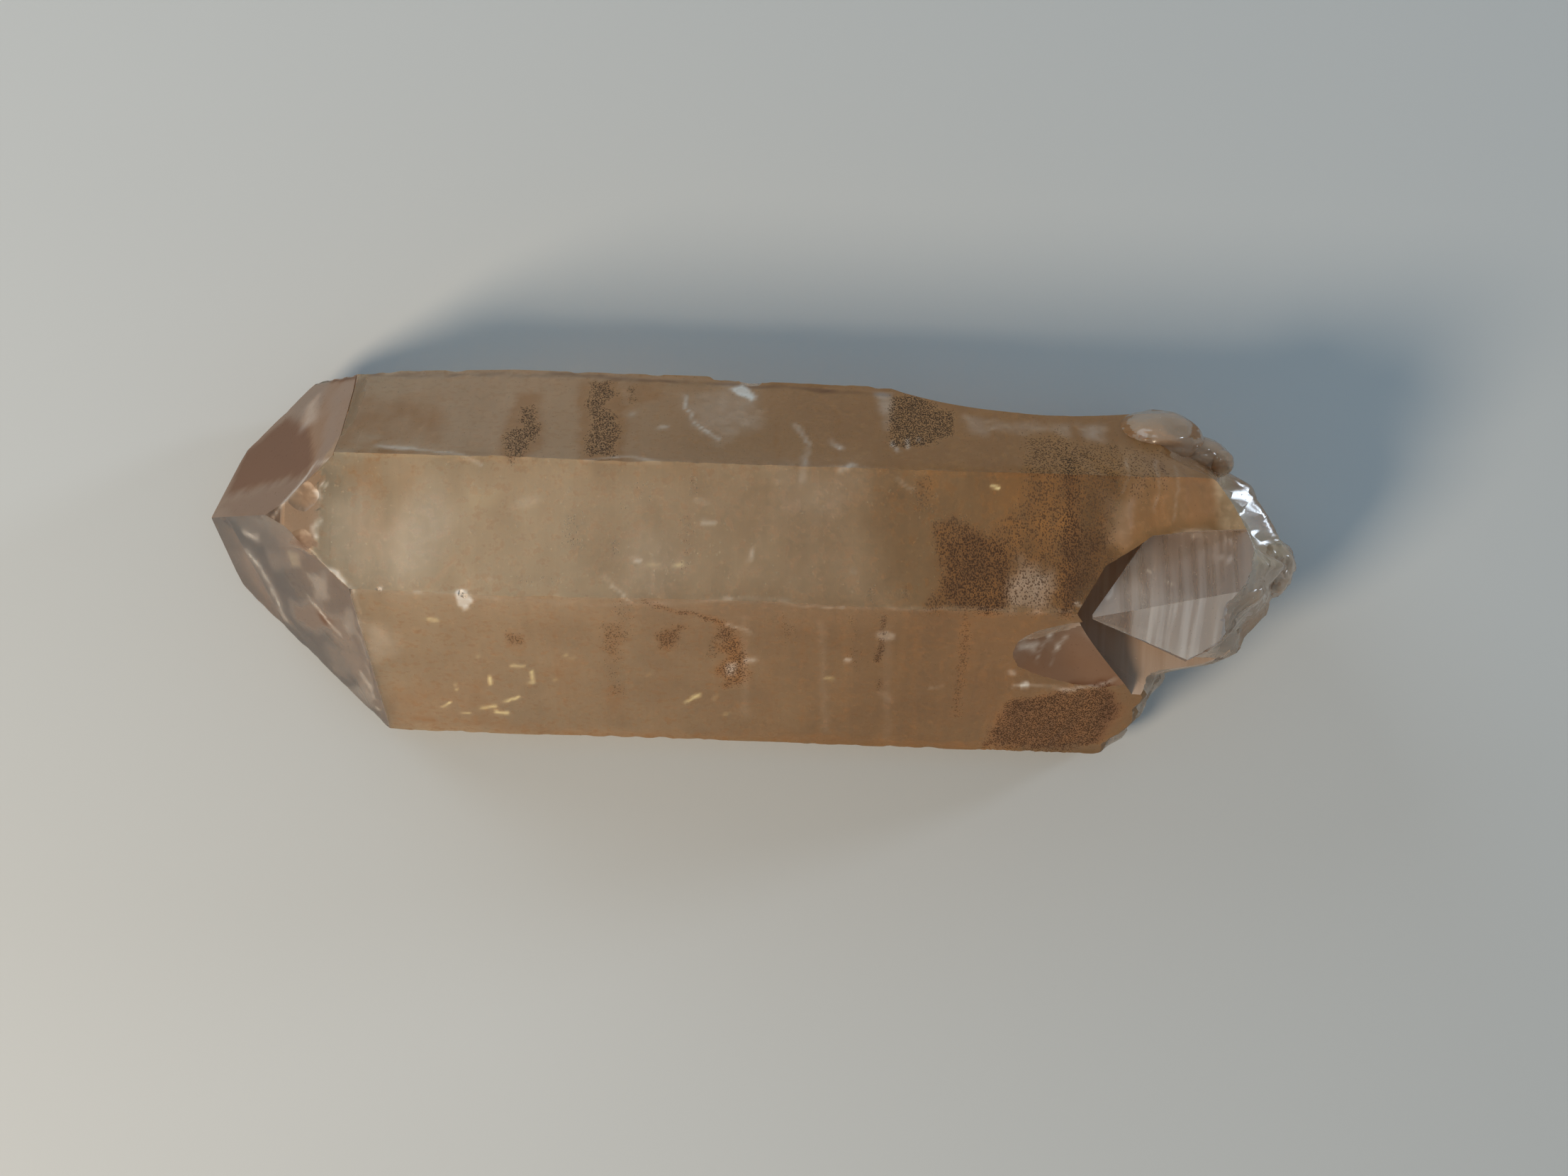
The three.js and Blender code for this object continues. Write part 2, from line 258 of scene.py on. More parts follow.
# The corners of every section, each where one side's line meets the next: along a side's line, the other
# sides leave room from the largest of their lower limits to the smallest of their upper ones. A side that
# is cut off altogether has both its corners at the corner before it.
def sectionCorners(distances):
    angles = np.radians([side[1] for side in crystal["sides"]])
    turn = angles[None, :] - angles[:, None]
    across = np.sin(turn)
    room = distances[:, None, :] - distances[:, :, None] * np.cos(turn)[None]
    with np.errstate(divide="ignore", invalid="ignore"):
        limit = room / across[None]
    parallel = 1e-9
    high = np.where(across > parallel, limit, np.inf).min(2)
    low = np.where(across < -parallel, limit, -np.inf).max(2)
    shown = high > low
    y = np.sin(angles) * distances + np.cos(angles) * high
    z = np.cos(angles) * distances - np.sin(angles) * high
    count = len(angles)
    order = np.arange(2 * count)
    last = np.maximum.accumulate(np.where(np.tile(shown, 2), order, -1), axis=1)[:, count:] % count
    return np.stack([np.take_along_axis(y, last, 1), np.take_along_axis(z, last, 1)], 2)


# The broken root: how it leans back above and below some heights and beside the lower edge, its ripples as
# (height, radians per mm along Y and Z, start), and its small hackly steps. The bench is a flat striated
# step broken into its upper corner.
rootBreak = {
    "above": {"from": 12, "lean": 0.55},
    "below": {"from": 9, "lean": 0.35, "start": -9, "run": 3},
    "flank": {"from": 4, "lean": 0.2, "start": -7},
    "ripples": [(0.32, 0.5, 0.9, 0), (0.22, 1.7, -0.6, 1.3)],
    "scale": 0.8,
    "flakeDepth": 0.4,
    "flakeCount": 2.6,
    "gritDepth": 0.1,
    "gritScale": 4,
}
rootBench = {"from": (1.2, 3.0), "to": (7.4, 9.0), "rise": (11.2, 12.2), "low": 12.2, "high": 13.35,
             "depth": 2.7, "lean": 0.22, "grooveDepth": 0.02, "grooveScale": (5, 0.8)}


# How far the root reaches in X: its outline, leaning back above the middle and below it, with the ripples
# and hackly steps of broken quartz, and the bench blended in.
def rootEnd(y, z):
    facts, bench = rootBreak, rootBench
    outline = np.interp(y, *zip(*rootOutline))
    above = -facts["above"]["lean"] * np.maximum(z - facts["above"]["from"], 0)
    beside = np.clip(facts["flank"]["start"] - y, 0, 1)
    flank = -facts["flank"]["lean"] * np.maximum(z - facts["flank"]["from"], 0) * beside
    beside = np.clip((y - facts["below"]["start"]) / facts["below"]["run"], 0, 1)
    below = -facts["below"]["lean"] * np.maximum(facts["below"]["from"] - z, 0) * beside
    ripple = sum(height * np.sin(alongZ * z + alongY * y + start) for height, alongY, alongZ, start in
                 facts["ripples"])
    spots = np.stack([y * facts["scale"], z * facts["scale"], z * 0], -1)
    flakes = terraces(roughNoise(spots, 3, 5), facts["flakeCount"])
    grit = roughNoise(spots * facts["gritScale"], 2, 9)
    plain = above + ripple + (facts["flakeDepth"] * flakes + facts["gritDepth"] * grit)
    share = np.clip((z - bench["low"]) / (bench["high"] - bench["low"]), 0, 1)
    step = -bench["depth"] * share - bench["lean"] * np.maximum(z - bench["high"], 0)
    grooves = np.stack([y * bench["grooveScale"][0], z * bench["grooveScale"][1], z * 0], -1)
    step = step + bench["grooveDepth"] * roughNoise(grooves, 2, 13)
    onBench = smoothStep(*bench["from"], y) * (1 - smoothStep(*bench["to"], y))
    onBench = onBench * smoothStep(*bench["rise"], z)
    return outline + flank + below + plain + onBench * (step - plain)


# A cap over the last ring of a skin: rings that shrink to the ring's middle, lying on the broken root.
def rootCap(rim, count):
    middle = rim[:, 1:].mean(0)
    shrink = np.linspace(1, 0, count)[1:-1, None, None]
    capYz = middle + (rim[None, :, 1:] - middle) * shrink
    return np.concatenate([rootEnd(capYz[..., 0], capYz[..., 1])[..., None], capYz], -1)


# The prism and its point: points at even shares of each side of each ring, a little denser near the
# corners. Returned with them are each column's side and its points' distances from that side's two corners
# and from the first one.
def prismRings(places):
    corners = sectionCorners(sideDistances(places))
    grid, sideOf, edge, run = [], [], [], []
    for i, side in enumerate(crystal["sides"]):
        s = np.arange(side[6]) / side[6]
        s = s - crystal["crowding"] * np.sin(2 * np.pi * s) / (2 * np.pi)
        a, b = corners[:, i - 1, None], corners[:, i, None]
        length = np.linalg.norm(b - a, axis=2)
        grid.append(a + s[None, :, None] * (b - a))
        edge.append(np.minimum(s, 1 - s)[None] * length)
        run.append(s[None] * length)
        sideOf.append(np.full(side[6], i))
    return np.concatenate(grid, 1), np.concatenate(sideOf), np.concatenate(edge, 1), np.concatenate(run, 1)


# Where a side is grown and not glassy: 0 on its face of the point, 1 from a little past its shoulder on.
def grownShare(places, sideOf):
    grown = np.ones((len(places), len(sideOf)))
    for i, side in enumerate(crystal["sides"]):
        shoulder = crystal["grownFrom"].get(side[0], max(side[3], crystal["tip"]))
        grown[:, sideOf == i] *= smoothStep(shoulder, shoulder + crystal["shoulderRun"], places)[:, None]
    return grown * ~np.isin(sideNames, crystal["glassy"])[sideOf][None]


# The rings are moved inward, square to their sides, by the ladder steps and a slow wave, and towards their
# middle by the wear of the edges. Past stretchFrom they are stretched to end on the broken root.
def crystalGrid():
    start, end, stretchFrom = crystal["tip"], crystal["end"], crystal["stretchFrom"]
    places = np.linspace(start, end, int((end - start) / crystal["ringGap"]) + 1)
    shoulders = [side[3] for side in crystal["sides"] if side[3] > start]
    places = np.unique(np.round(np.concatenate([places, shoulders, np.array(shoulders) + 0.03]), 4))
    grid, sideOf, edge, run = prismRings(places)
    angles = np.radians([side[1] for side in crystal["sides"]])[sideOf]
    x = np.repeat(places[:, None], grid.shape[1], 1)
    y, z = grid[..., 0] + crystal["axis"][0], grid[..., 1] + crystal["axis"][1]

    spots = np.stack([x, run + crystal["sideSpread"] * sideOf[None], x * 0], -1)
    ladder = terraces(namedNoise(spots, crystal["ladderNoise"]), crystal["ledgeCount"])
    rungs = terraces(namedNoise(spots, crystal["rungNoise"]), crystal["rungCount"])
    wave = namedNoise(spots, crystal["waveNoise"])
    inward = crystal["ledge"] * (ladder + crystal["rungShare"] * rungs + crystal["ledgeLift"])
    inward = inward + crystal["wave"] * (wave + crystal["waveLift"])
    inward = inward + crystal["fine"] * namedNoise(spots, crystal["fineNoise"])
    solidSpots = np.stack([x, y, z], -1)
    chips = np.maximum(namedNoise(solidSpots, crystal["chipNoise"]) + crystal["chipLevel"], 0)
    worn = crystal["rubbed"] + crystal["chipped"] * chips
    wear = crystal["wear"] * np.exp(-((edge / crystal["wearReach"]) ** 2)) * worn
    names = sideNames[sideOf]
    far = run > crystal["softRun"]
    ridge = ((names == "top") & far) | ((names == "upper") & (run < crystal["softRun"]))
    mean, swing = crystal["unevenness"]
    uneven = mean + swing * namedNoise(solidSpots, crystal["ridgeNoise"])
    wear = wear + ridge * crystal["softRidge"] * np.exp(-((edge / crystal["softReach"]) ** 2)) * uneven
    keep = smoothStep(start, start + crystal["tipRun"], x)
    shift = -grownShare(places, sideOf) * np.maximum(inward, 0) * smoothStep(0, crystal["cornerRun"], edge)
    shift = shift * keep * (names != "rest")
    outY, outZ = y - y.mean(1, keepdims=True), z - z.mean(1, keepdims=True)
    out = np.maximum(np.hypot(outY, outZ), 1e-6)
    wear = -wear * keep * smoothStep(0, crystal["axisRun"], out)
    wear = wear * np.where(z < crystal["restBelow"], crystal["restWear"], 1)
    y = y + shift * np.sin(angles) + wear * outY / out
    z = np.maximum(z + shift * np.cos(angles) + wear * outZ / out, 0)

    late = np.maximum(x - stretchFrom, 0) / (end - stretchFrom)
    x = np.where(late > 0, stretchFrom + late * (rootEnd(y[-1], z[-1])[None] - stretchFrom), x)
    body = np.stack([x, y, z], -1)
    return np.concatenate([body, rootCap(body[-1], crystal["capRings"])])


# The small crystal grown into the root: a six-sided point. Each side has an azimuth, a distance from its
# axis for each mm from its tip, and a number of grid points.
sideCrystal = {
    "tip": (26.6, -3.5, 22.8),
    "drift": (0.1, -0.45),
    "sides": [(24.4, 0.32, 30), (100, 1.3, 20), (180, 0.5, 14), (240, 0.48, 14), (288, 0.43, 24),
              (328.3, 0.2, 36)],
    "rings": 110,
    "capRings": 18,
    "first": 0.2,  # the first ring's distance from the tip
    "farthest": 40.0,
    "halvings": 40,
    "rung": 0.035,
    "rungCount": 2.5,
    "rungNoise": ((1.9, 1, 1), 2, 31),
}


# Every side runs straight out from the tip until it meets the broken root, found by halving the gap again
# and again. The ladder steps move it inward, and a cap lies on the root.
def sideCrystalGrid():
    facts = sideCrystal
    angles = np.radians([side[0] for side in facts["sides"]])
    reaches = np.array([side[1] for side in facts["sides"]])
    after = np.roll(angles, -1)
    turn = np.sin(after - angles)
    cornerY = (reaches * np.cos(after) - np.roll(reaches, -1) * np.cos(angles)) / -turn
    cornerZ = (reaches * np.sin(after) - np.roll(reaches, -1) * np.sin(angles)) / turn
    corners = np.stack([cornerY, cornerZ], 1)
    columns, turns = [], []
    for i, side in enumerate(facts["sides"]):
        s = np.arange(side[2])[:, None] / side[2]
        columns.append(corners[i - 1] + s * (corners[i] - corners[i - 1]))
        turns.append(np.full(side[2], angles[i]))
    ring, turns = np.concatenate(columns), np.concatenate(turns)
    tipX, tipY, tipZ = facts["tip"]
    driftY, driftZ = facts["drift"]
    near, far = np.zeros(len(ring)), np.full(len(ring), facts["farthest"])
    for halving in range(facts["halvings"]):
        half = (near + far) / 2
        end = rootEnd(tipY + (driftY + ring[:, 0]) * half, tipZ + (driftZ + ring[:, 1]) * half)
        inside = tipX + half < end
        near, far = np.where(inside, half, near), np.where(inside, far, half)
    t = facts["first"] + np.linspace(0, 1, facts["rings"])[:, None] * (near[None] - facts["first"])
    spots = np.stack([t, t * ring[:, 0] * 0.1, t * ring[:, 1] * 0.1], -1)
    rungs = terraces(namedNoise(spots, facts["rungNoise"]), facts["rungCount"])
    shift = -facts["rung"] * (rungs + 1) * smoothStep(0, 3, t)
    y = tipY + (driftY + ring[None, :, 0]) * t + shift * np.sin(turns)
    z = tipZ + (driftZ + ring[None, :, 1]) * t + shift * np.cos(turns)
    body = np.stack([tipX + t, y, z], -1)
    return np.concatenate([body, rootCap(body[-1], facts["capRings"])])


# Of an ellipsoid: the direction of the point that its ripples run round, the ripples in radians for each
# radian from there, the scale of its noise, and how near its first and last rings lie to its poles.
shell = {"struck": (0.5, 0.75, -0.43), "rings": 18.0, "scale": 3.1, "pole": 0.03}


# A rounded lump or the tool for a shell-like break: an ellipsoid, its radius rippled in rings round one of
# its points as a conchoidal break is, and roughened by noise.
def ellipsoidGrid(at, half, rows=28, columns=48, ripple=0.0, rough=0.0, seed=0):
    polar = np.linspace(shell["pole"], math.pi - shell["pole"], rows)[:, None]
    turn = np.linspace(0, 2 * math.pi, columns, endpoint=False)[None]
    flat = np.sin(polar)
    unit = np.stack([flat * np.cos(turn), flat * np.sin(turn), np.cos(polar) + 0 * turn], -1)
    reach = np.arccos(np.clip(unit @ np.array(shell["struck"]), -1, 1))
    radius = 1 + ripple * np.sin(shell["rings"] * reach)
    radius = radius + rough * roughNoise(unit * shell["scale"] + seed, 3, seed)
    return np.array(at) + unit * radius[..., None] * np.array(half)


# Each break and each lump: the ellipsoid's middle, its half sizes and its grid and roughness.
breaks = [
    ((24.5, 27.6, 9), (25, 15.3, 24), dict(rows=140, columns=280, ripple=0.0016, rough=0.004, seed=2)),
    ((28.5, -13.6, 23.6), (13.5, 10, 10), dict(rows=90, columns=180, ripple=0.006, rough=0.012, seed=3)),
    ((30.6, -17.3, 3), (1.9, 2.1, 2.6), dict(rough=0.05, seed=4)),
    ((21.2, -16.9, 3.4), (1.3, 1.1, 1.5), dict(rough=0.08, seed=5)),
    ((-0.9, 16.2, 12), (1.3, 1.6, 2), dict(rough=0.1, seed=6)),
    ((-22.6, -3.8, 25.3), (0.75, 0.75, 0.9), dict(rows=40, columns=72, rough=0.35, seed=7)),
    ((-29.1, -3.3, 25.3), (0.4, 0.4, 0.5), dict(rough=0.2, seed=8)),
    ((-35.2, 3.9, 27.78), (3, 3, 3), dict(rows=60, columns=120, rough=0.05, seed=9)),
    ((-35.3, 0.3, 27.68), (2.9, 2.6, 2.9), dict(rows=60, columns=120, rough=0.05, seed=10)),
]
lumps = [
    ((32.4, 11.0, 14.2), (4.2, 2.7, 6), dict(rows=48, columns=80, rough=0.05, seed=12)),
    ((37.6, 9.5, 15.2), (1.3, 1.2, 3.0), dict(rows=36, columns=60, rough=0.06, seed=13)),
    ((35.3, 9.9, 13.6), (3.6, 2.0, 4.6), dict(rows=40, columns=64, rough=0.06, seed=15)),
    ((43, 1.2, 10), (2.4, 2.6, 3.6), dict(rows=48, columns=80, rough=0.14, seed=14)),
]
notch = {
    "outline": [(25.3, -3.2), (27.4, 0.6), (29.7, 2.1), (31, 3.1), (34.6, 3.6), (60, 5.4), (60, -24),
                (45, -24)],
    "floor": 13.5,
    "top": 40.0,
    "wallFrom": 13,
}


# The notch's outline, carried straight up from its floor.
def notchGrid():
    outline = np.array(notch["outline"][::-1])
    heights = np.array([notch["floor"], notch["top"]])
    flat = np.repeat(outline[None], 2, 0)
    return np.concatenate([flat, np.repeat(heights[:, None, None], len(outline), 1)], -1)


# The body less the notch and the breaks, and then with the side crystal and the lumps joined to it.
def makeCrystal():
    body = closedGrid("quartz", crystalGrid())
    weld(body, weldGap["body"])
    print("crystal body", len(body.data.vertices))
    tools = [closedGrid("notch", notchGrid())]
    tools += [closedGrid("break", ellipsoidGrid(at, half, **more)) for at, half, more in breaks]
    combine(body, tools, "DIFFERENCE")
    print("breaks cut", len(body.data.vertices))
    added = [closedGrid("sidePoint", sideCrystalGrid())]
    added += [closedGrid("lump", ellipsoidGrid(at, half, **more)) for at, half, more in lumps]
    combine(body, added, "UNION")
    print("lumps joined", len(body.data.vertices))
    return body


# Places on the crystal are given on charts. A chart is an enlarged part of the camera's view, set by the
# view's point at its upper left corner and by its enlargement. The view has its middle, the number of its
# points that lie across one unit at one unit's distance, and the level of the crystal's axis.
charts = {
    "tip": (310, 560, 3.484),
    "left": (700, 540, 3.337),
    "right": (1100, 540, 3.337),
    "root": (1500, 560, 3.484),
    "whole": (0, 0, 1.0),
}
chartView = {"middle": (1106, 829.5), "points": 3204, "level": 12.5}


# Where a chart's points lie on the crystal, in mm to the nearest 0.1: the line of sight through each is
# followed to the CAD solid or, where it passes that, to the level of the crystal's axis.
def chartPlaces(chart, points):
    left, top, enlarged = charts[chart]
    middleX, middleY = chartView["middle"]
    turn = math.radians(cameraFacts["turn"])
    cos, sin = math.cos(turn), math.sin(turn)
    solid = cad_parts["quartz_crystal"]
    start = Vector(cameraFacts["at"])
    graph = bpy.context.evaluated_depsgraph_get()
    places = []
    for across, down in points:
        right = (left + across / enlarged - middleX) / chartView["points"]
        up = (middleY - top - down / enlarged) / chartView["points"]
        aim = Vector((cos * right - sin * up, sin * right + cos * up, -1))
        met, place = solid.ray_cast(start, aim, depsgraph=graph)[:2]
        if not met:
            place = start + aim * (start.z - chartView["level"] * mm)
        places.append((round(place.x / mm, 1), round(place.y / mm, 1)))
    return places


# The distance in millimetres from each point to the nearest of some straight runs, seen from above.
def runDistance(x, y, a, run):
    rel = np.stack([x, y], -1)[:, None, :] - a[None]
    share = np.clip((rel * run).sum(-1) / (run**2).sum(-1), 0, 1)
    return np.linalg.norm(rel - share[..., None] * run[None], axis=-1).min(1)


# How far inside an outline each point is, in millimetres and below 0 outside: the distance to the nearest
# edge, with its sign from counting the edges that a line along +X crosses.
def insideDepth(x, y, outline):
    a = np.array(outline, float)
    b = np.roll(a, -1, axis=0)
    run = b - a
    away = runDistance(x, y, a, run)
    crosses = (a[None, :, 1] > y[:, None]) != (b[None, :, 1] > y[:, None])
    with np.errstate(divide="ignore", invalid="ignore"):
        at = a[None, :, 0] + (y[:, None] - a[None, :, 1]) * run[None, :, 0] / run[None, :, 1]
    inside = (crosses & (x[:, None] < at)).sum(1) % 2 == 1
    return np.where(inside, away, -away)


# How near a face has to be to a plane or a break to count as part of it, in mm, and how squarely it has to
# face out of its side.
sorting = {"side": 0.4, "break": 0.3, "smallSide": 0.16, "floor": 0.25, "squarely": 0.55, "never": 99}
# How far up a normal points, from 0 to 1, on a steep face, on a level one, and where a finish sets in.
upwardness = {"steep": 0.35, "level": 0.95, "sets": (0, 0.3)}


# The side that each point lies on, by the nearest of the crystal's planes, or -1 where none is near, or
# where the face is close to a break's ellipsoid and faces its middle more squarely than it faces out of the
# side.
def sideAt(points, normals):
    angles = np.radians([side[1] for side in crystal["sides"]])
    y, z = points[:, 1] - crystal["axis"][0], points[:, 2] - crystal["axis"][1]
    out = y[:, None] * np.sin(angles) + z[:, None] * np.cos(angles)
    gap = np.abs(out - sideDistances(points[:, 0]))
    facing = normals[:, 1:2] * np.sin(angles) + normals[:, 2:3] * np.cos(angles)
    gap = np.where(facing > sorting["squarely"], gap, sorting["never"])
    nearest = gap.argmin(1)
    side = np.where(gap.min(1) < sorting["side"], nearest, -1)
    for at, half, more in breaks:
        away = (points - np.array(at)) / np.array(half)
        inward = -away / np.array(half)
        inward /= np.linalg.norm(inward, axis=1, keepdims=True)
        near = np.abs(np.linalg.norm(away, axis=1) - 1) * min(half) < sorting["break"]
        squarely = (normals * inward).sum(1) > np.take_along_axis(facing, nearest[:, None], 1)[:, 0]
        side = np.where(near & squarely, -1, side)
    return side


# The side of the small crystal that each point lies on, as for the large one, or -1.
def sideCrystalAt(points):
    facts = sideCrystal
    t = points[:, 0] - facts["tip"][0]
    y = points[:, 1] - facts["tip"][1] - facts["drift"][0] * t
    z = points[:, 2] - facts["tip"][2] - facts["drift"][1] * t
    angles = np.radians([side[0] for side in facts["sides"]])
    reaches = np.array([side[1] for side in facts["sides"]])
    gap = y[:, None] * np.sin(angles) + z[:, None] * np.cos(angles) - reaches * t[:, None]
    onIt = (np.abs(gap).min(1) < sorting["smallSide"]) & (gap.max(1) < sorting["smallSide"]) & (t > -0.1)
    return np.where(onIt, np.abs(gap).argmin(1), -1)


